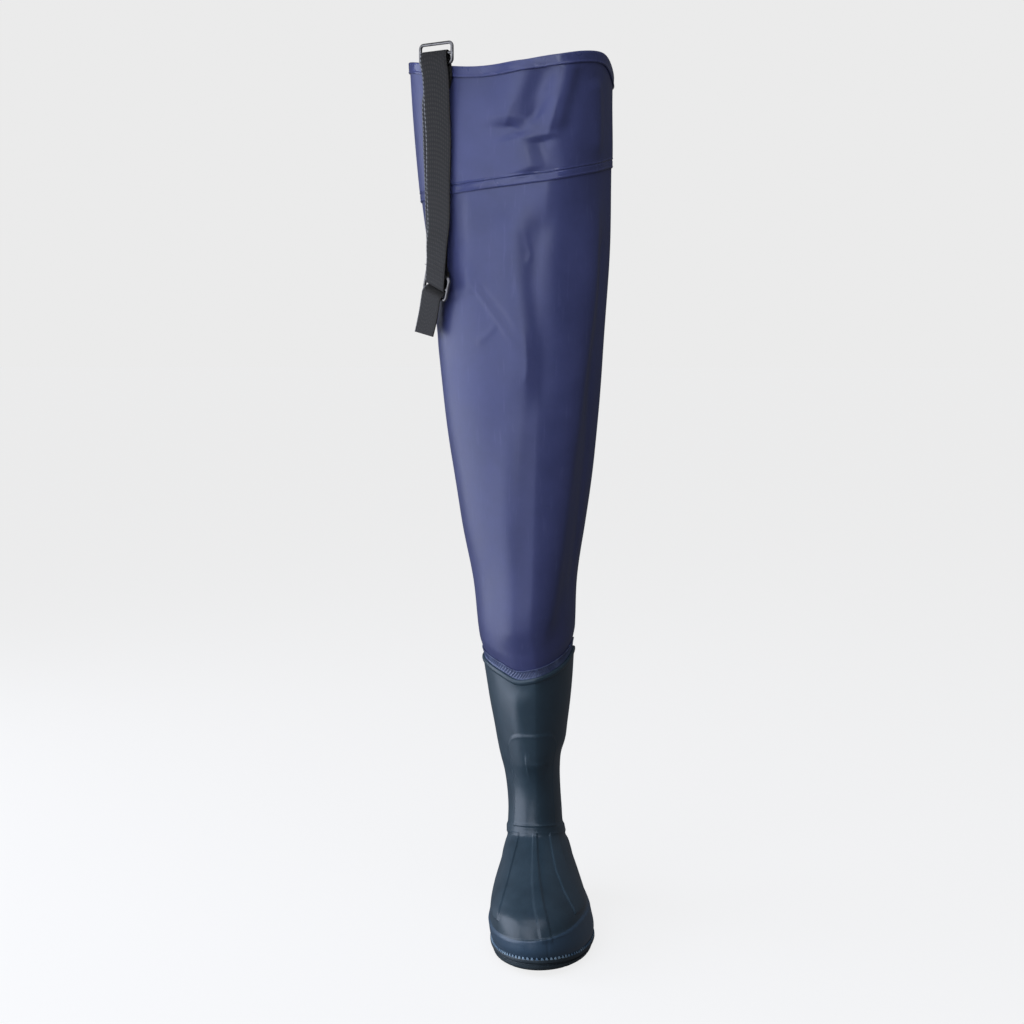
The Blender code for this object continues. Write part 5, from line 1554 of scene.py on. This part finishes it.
def add_light(name, place, target, size, power, spread):
    """Round soft light of cool daylight."""
    data = bpy.data.lights.new(name, "AREA")
    data.shape, data.size, data.energy = "DISK", size, power
    data.color = linear(DAYLIGHT)[:3]
    data.spread = math.radians(spread)
    light = bpy.data.objects.new(name, data)
    light.location = place
    light.rotation_euler = (Vector(target) - Vector(place)).to_track_quat("-Z", "Y").to_euler()
    bpy.context.collection.objects.link(light)


def add_studio():
    pick()
    bpy.ops.mesh.primitive_plane_add(size=FLOOR_SIZE, location=FLOOR_PLACE)
    floor = bpy.context.object
    floor.name = "studio_floor"
    floor.visible_diffuse = floor.visible_glossy = False
    paper, tree, shader = new_finish("paper backdrop, matt", {"Roughness": 0.9})
    place = add_node(tree, "ShaderNodeTexCoord")
    tone = add_node(tree, "ShaderNodeTexNoise", {"Scale": 0.8}, {"Vector": (place, "Object")})
    drive(tree, shader, "Base Color", (tone, "Fac"),
          ((0.0, linear("#737373")), (1.0, linear("#777777"))))
    shader.inputs["Emission Color"].default_value = grey(1.0)
    shader.inputs["Emission Strength"].default_value = PAPER_GLOW
    floor.data.materials.append(paper)
    for light in table(LIGHT_COLUMNS, LIGHTS):
        add_light(**light)
    world = bpy.data.worlds.new("studio")
    world.use_nodes = True
    tree = world.node_tree
    soft = tree.nodes["Background"]
    soft.inputs["Color"].default_value = linear(SKY)
    soft.inputs["Strength"].default_value = SKY_STRENGTH
    white = add_node(tree, "ShaderNodeBackground", {"Color": grey(BACKDROP_WHITE), "Strength": 1.0})
    seen = add_node(tree, "ShaderNodeLightPath")
    both = add_node(tree, "ShaderNodeMixShader", links={
        0: (seen, "Is Camera Ray"), 1: (soft, "Background"), 2: (white, "Background")})
    tree.links.new(both.outputs["Shader"], tree.nodes["World Output"].inputs["Surface"])
    bpy.context.scene.world = world
    bpy.context.scene.view_settings.view_transform = "Standard"


add_camera()
add_studio()

fabric, gunmetal = coated_fabric_finish(), gunmetal_finish()
leg = dress(make_leg_tube(), fabric, "leg_tube")
cuff = dress(make_cuff(), fabric, "cuff")
hem = dress(make_hem(), fabric, "hem")
dress(make_weld_band(), weld_band_finish(), "weld_band")
dress(make_boot_upper(), boot_plastic_finish(), "boot_upper")
dress(make_outsole(), tread_rubber_finish(), "outsole")
# The welt marks carry a painted highlight in their colour
dress(make_welt_marks(), welt_glint_finish())
dress(make_strap(), webbing_finish(), "strap")
dress(make_strap_stitches(), thread_finish())
ring_place = slider_matrix(RING_LEVEL, RING_LIFT, 0.0, RING_SWING)
adjuster_place = slider_matrix(ADJUSTER_LEVEL, ADJUSTER_LIFT, ADJUSTER_TURN, ADJUSTER_SWING)
dress(make_slider("wire_ring", RING_HEIGHT, ring_place), gunmetal, "belt_ring")
dress(make_slider("wire_adjuster", ADJUSTER_HEIGHT, adjuster_place), gunmetal,
      "adjuster")
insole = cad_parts["insole"]
insole.data.materials.clear()
insole.data.materials.append(felt_finish())
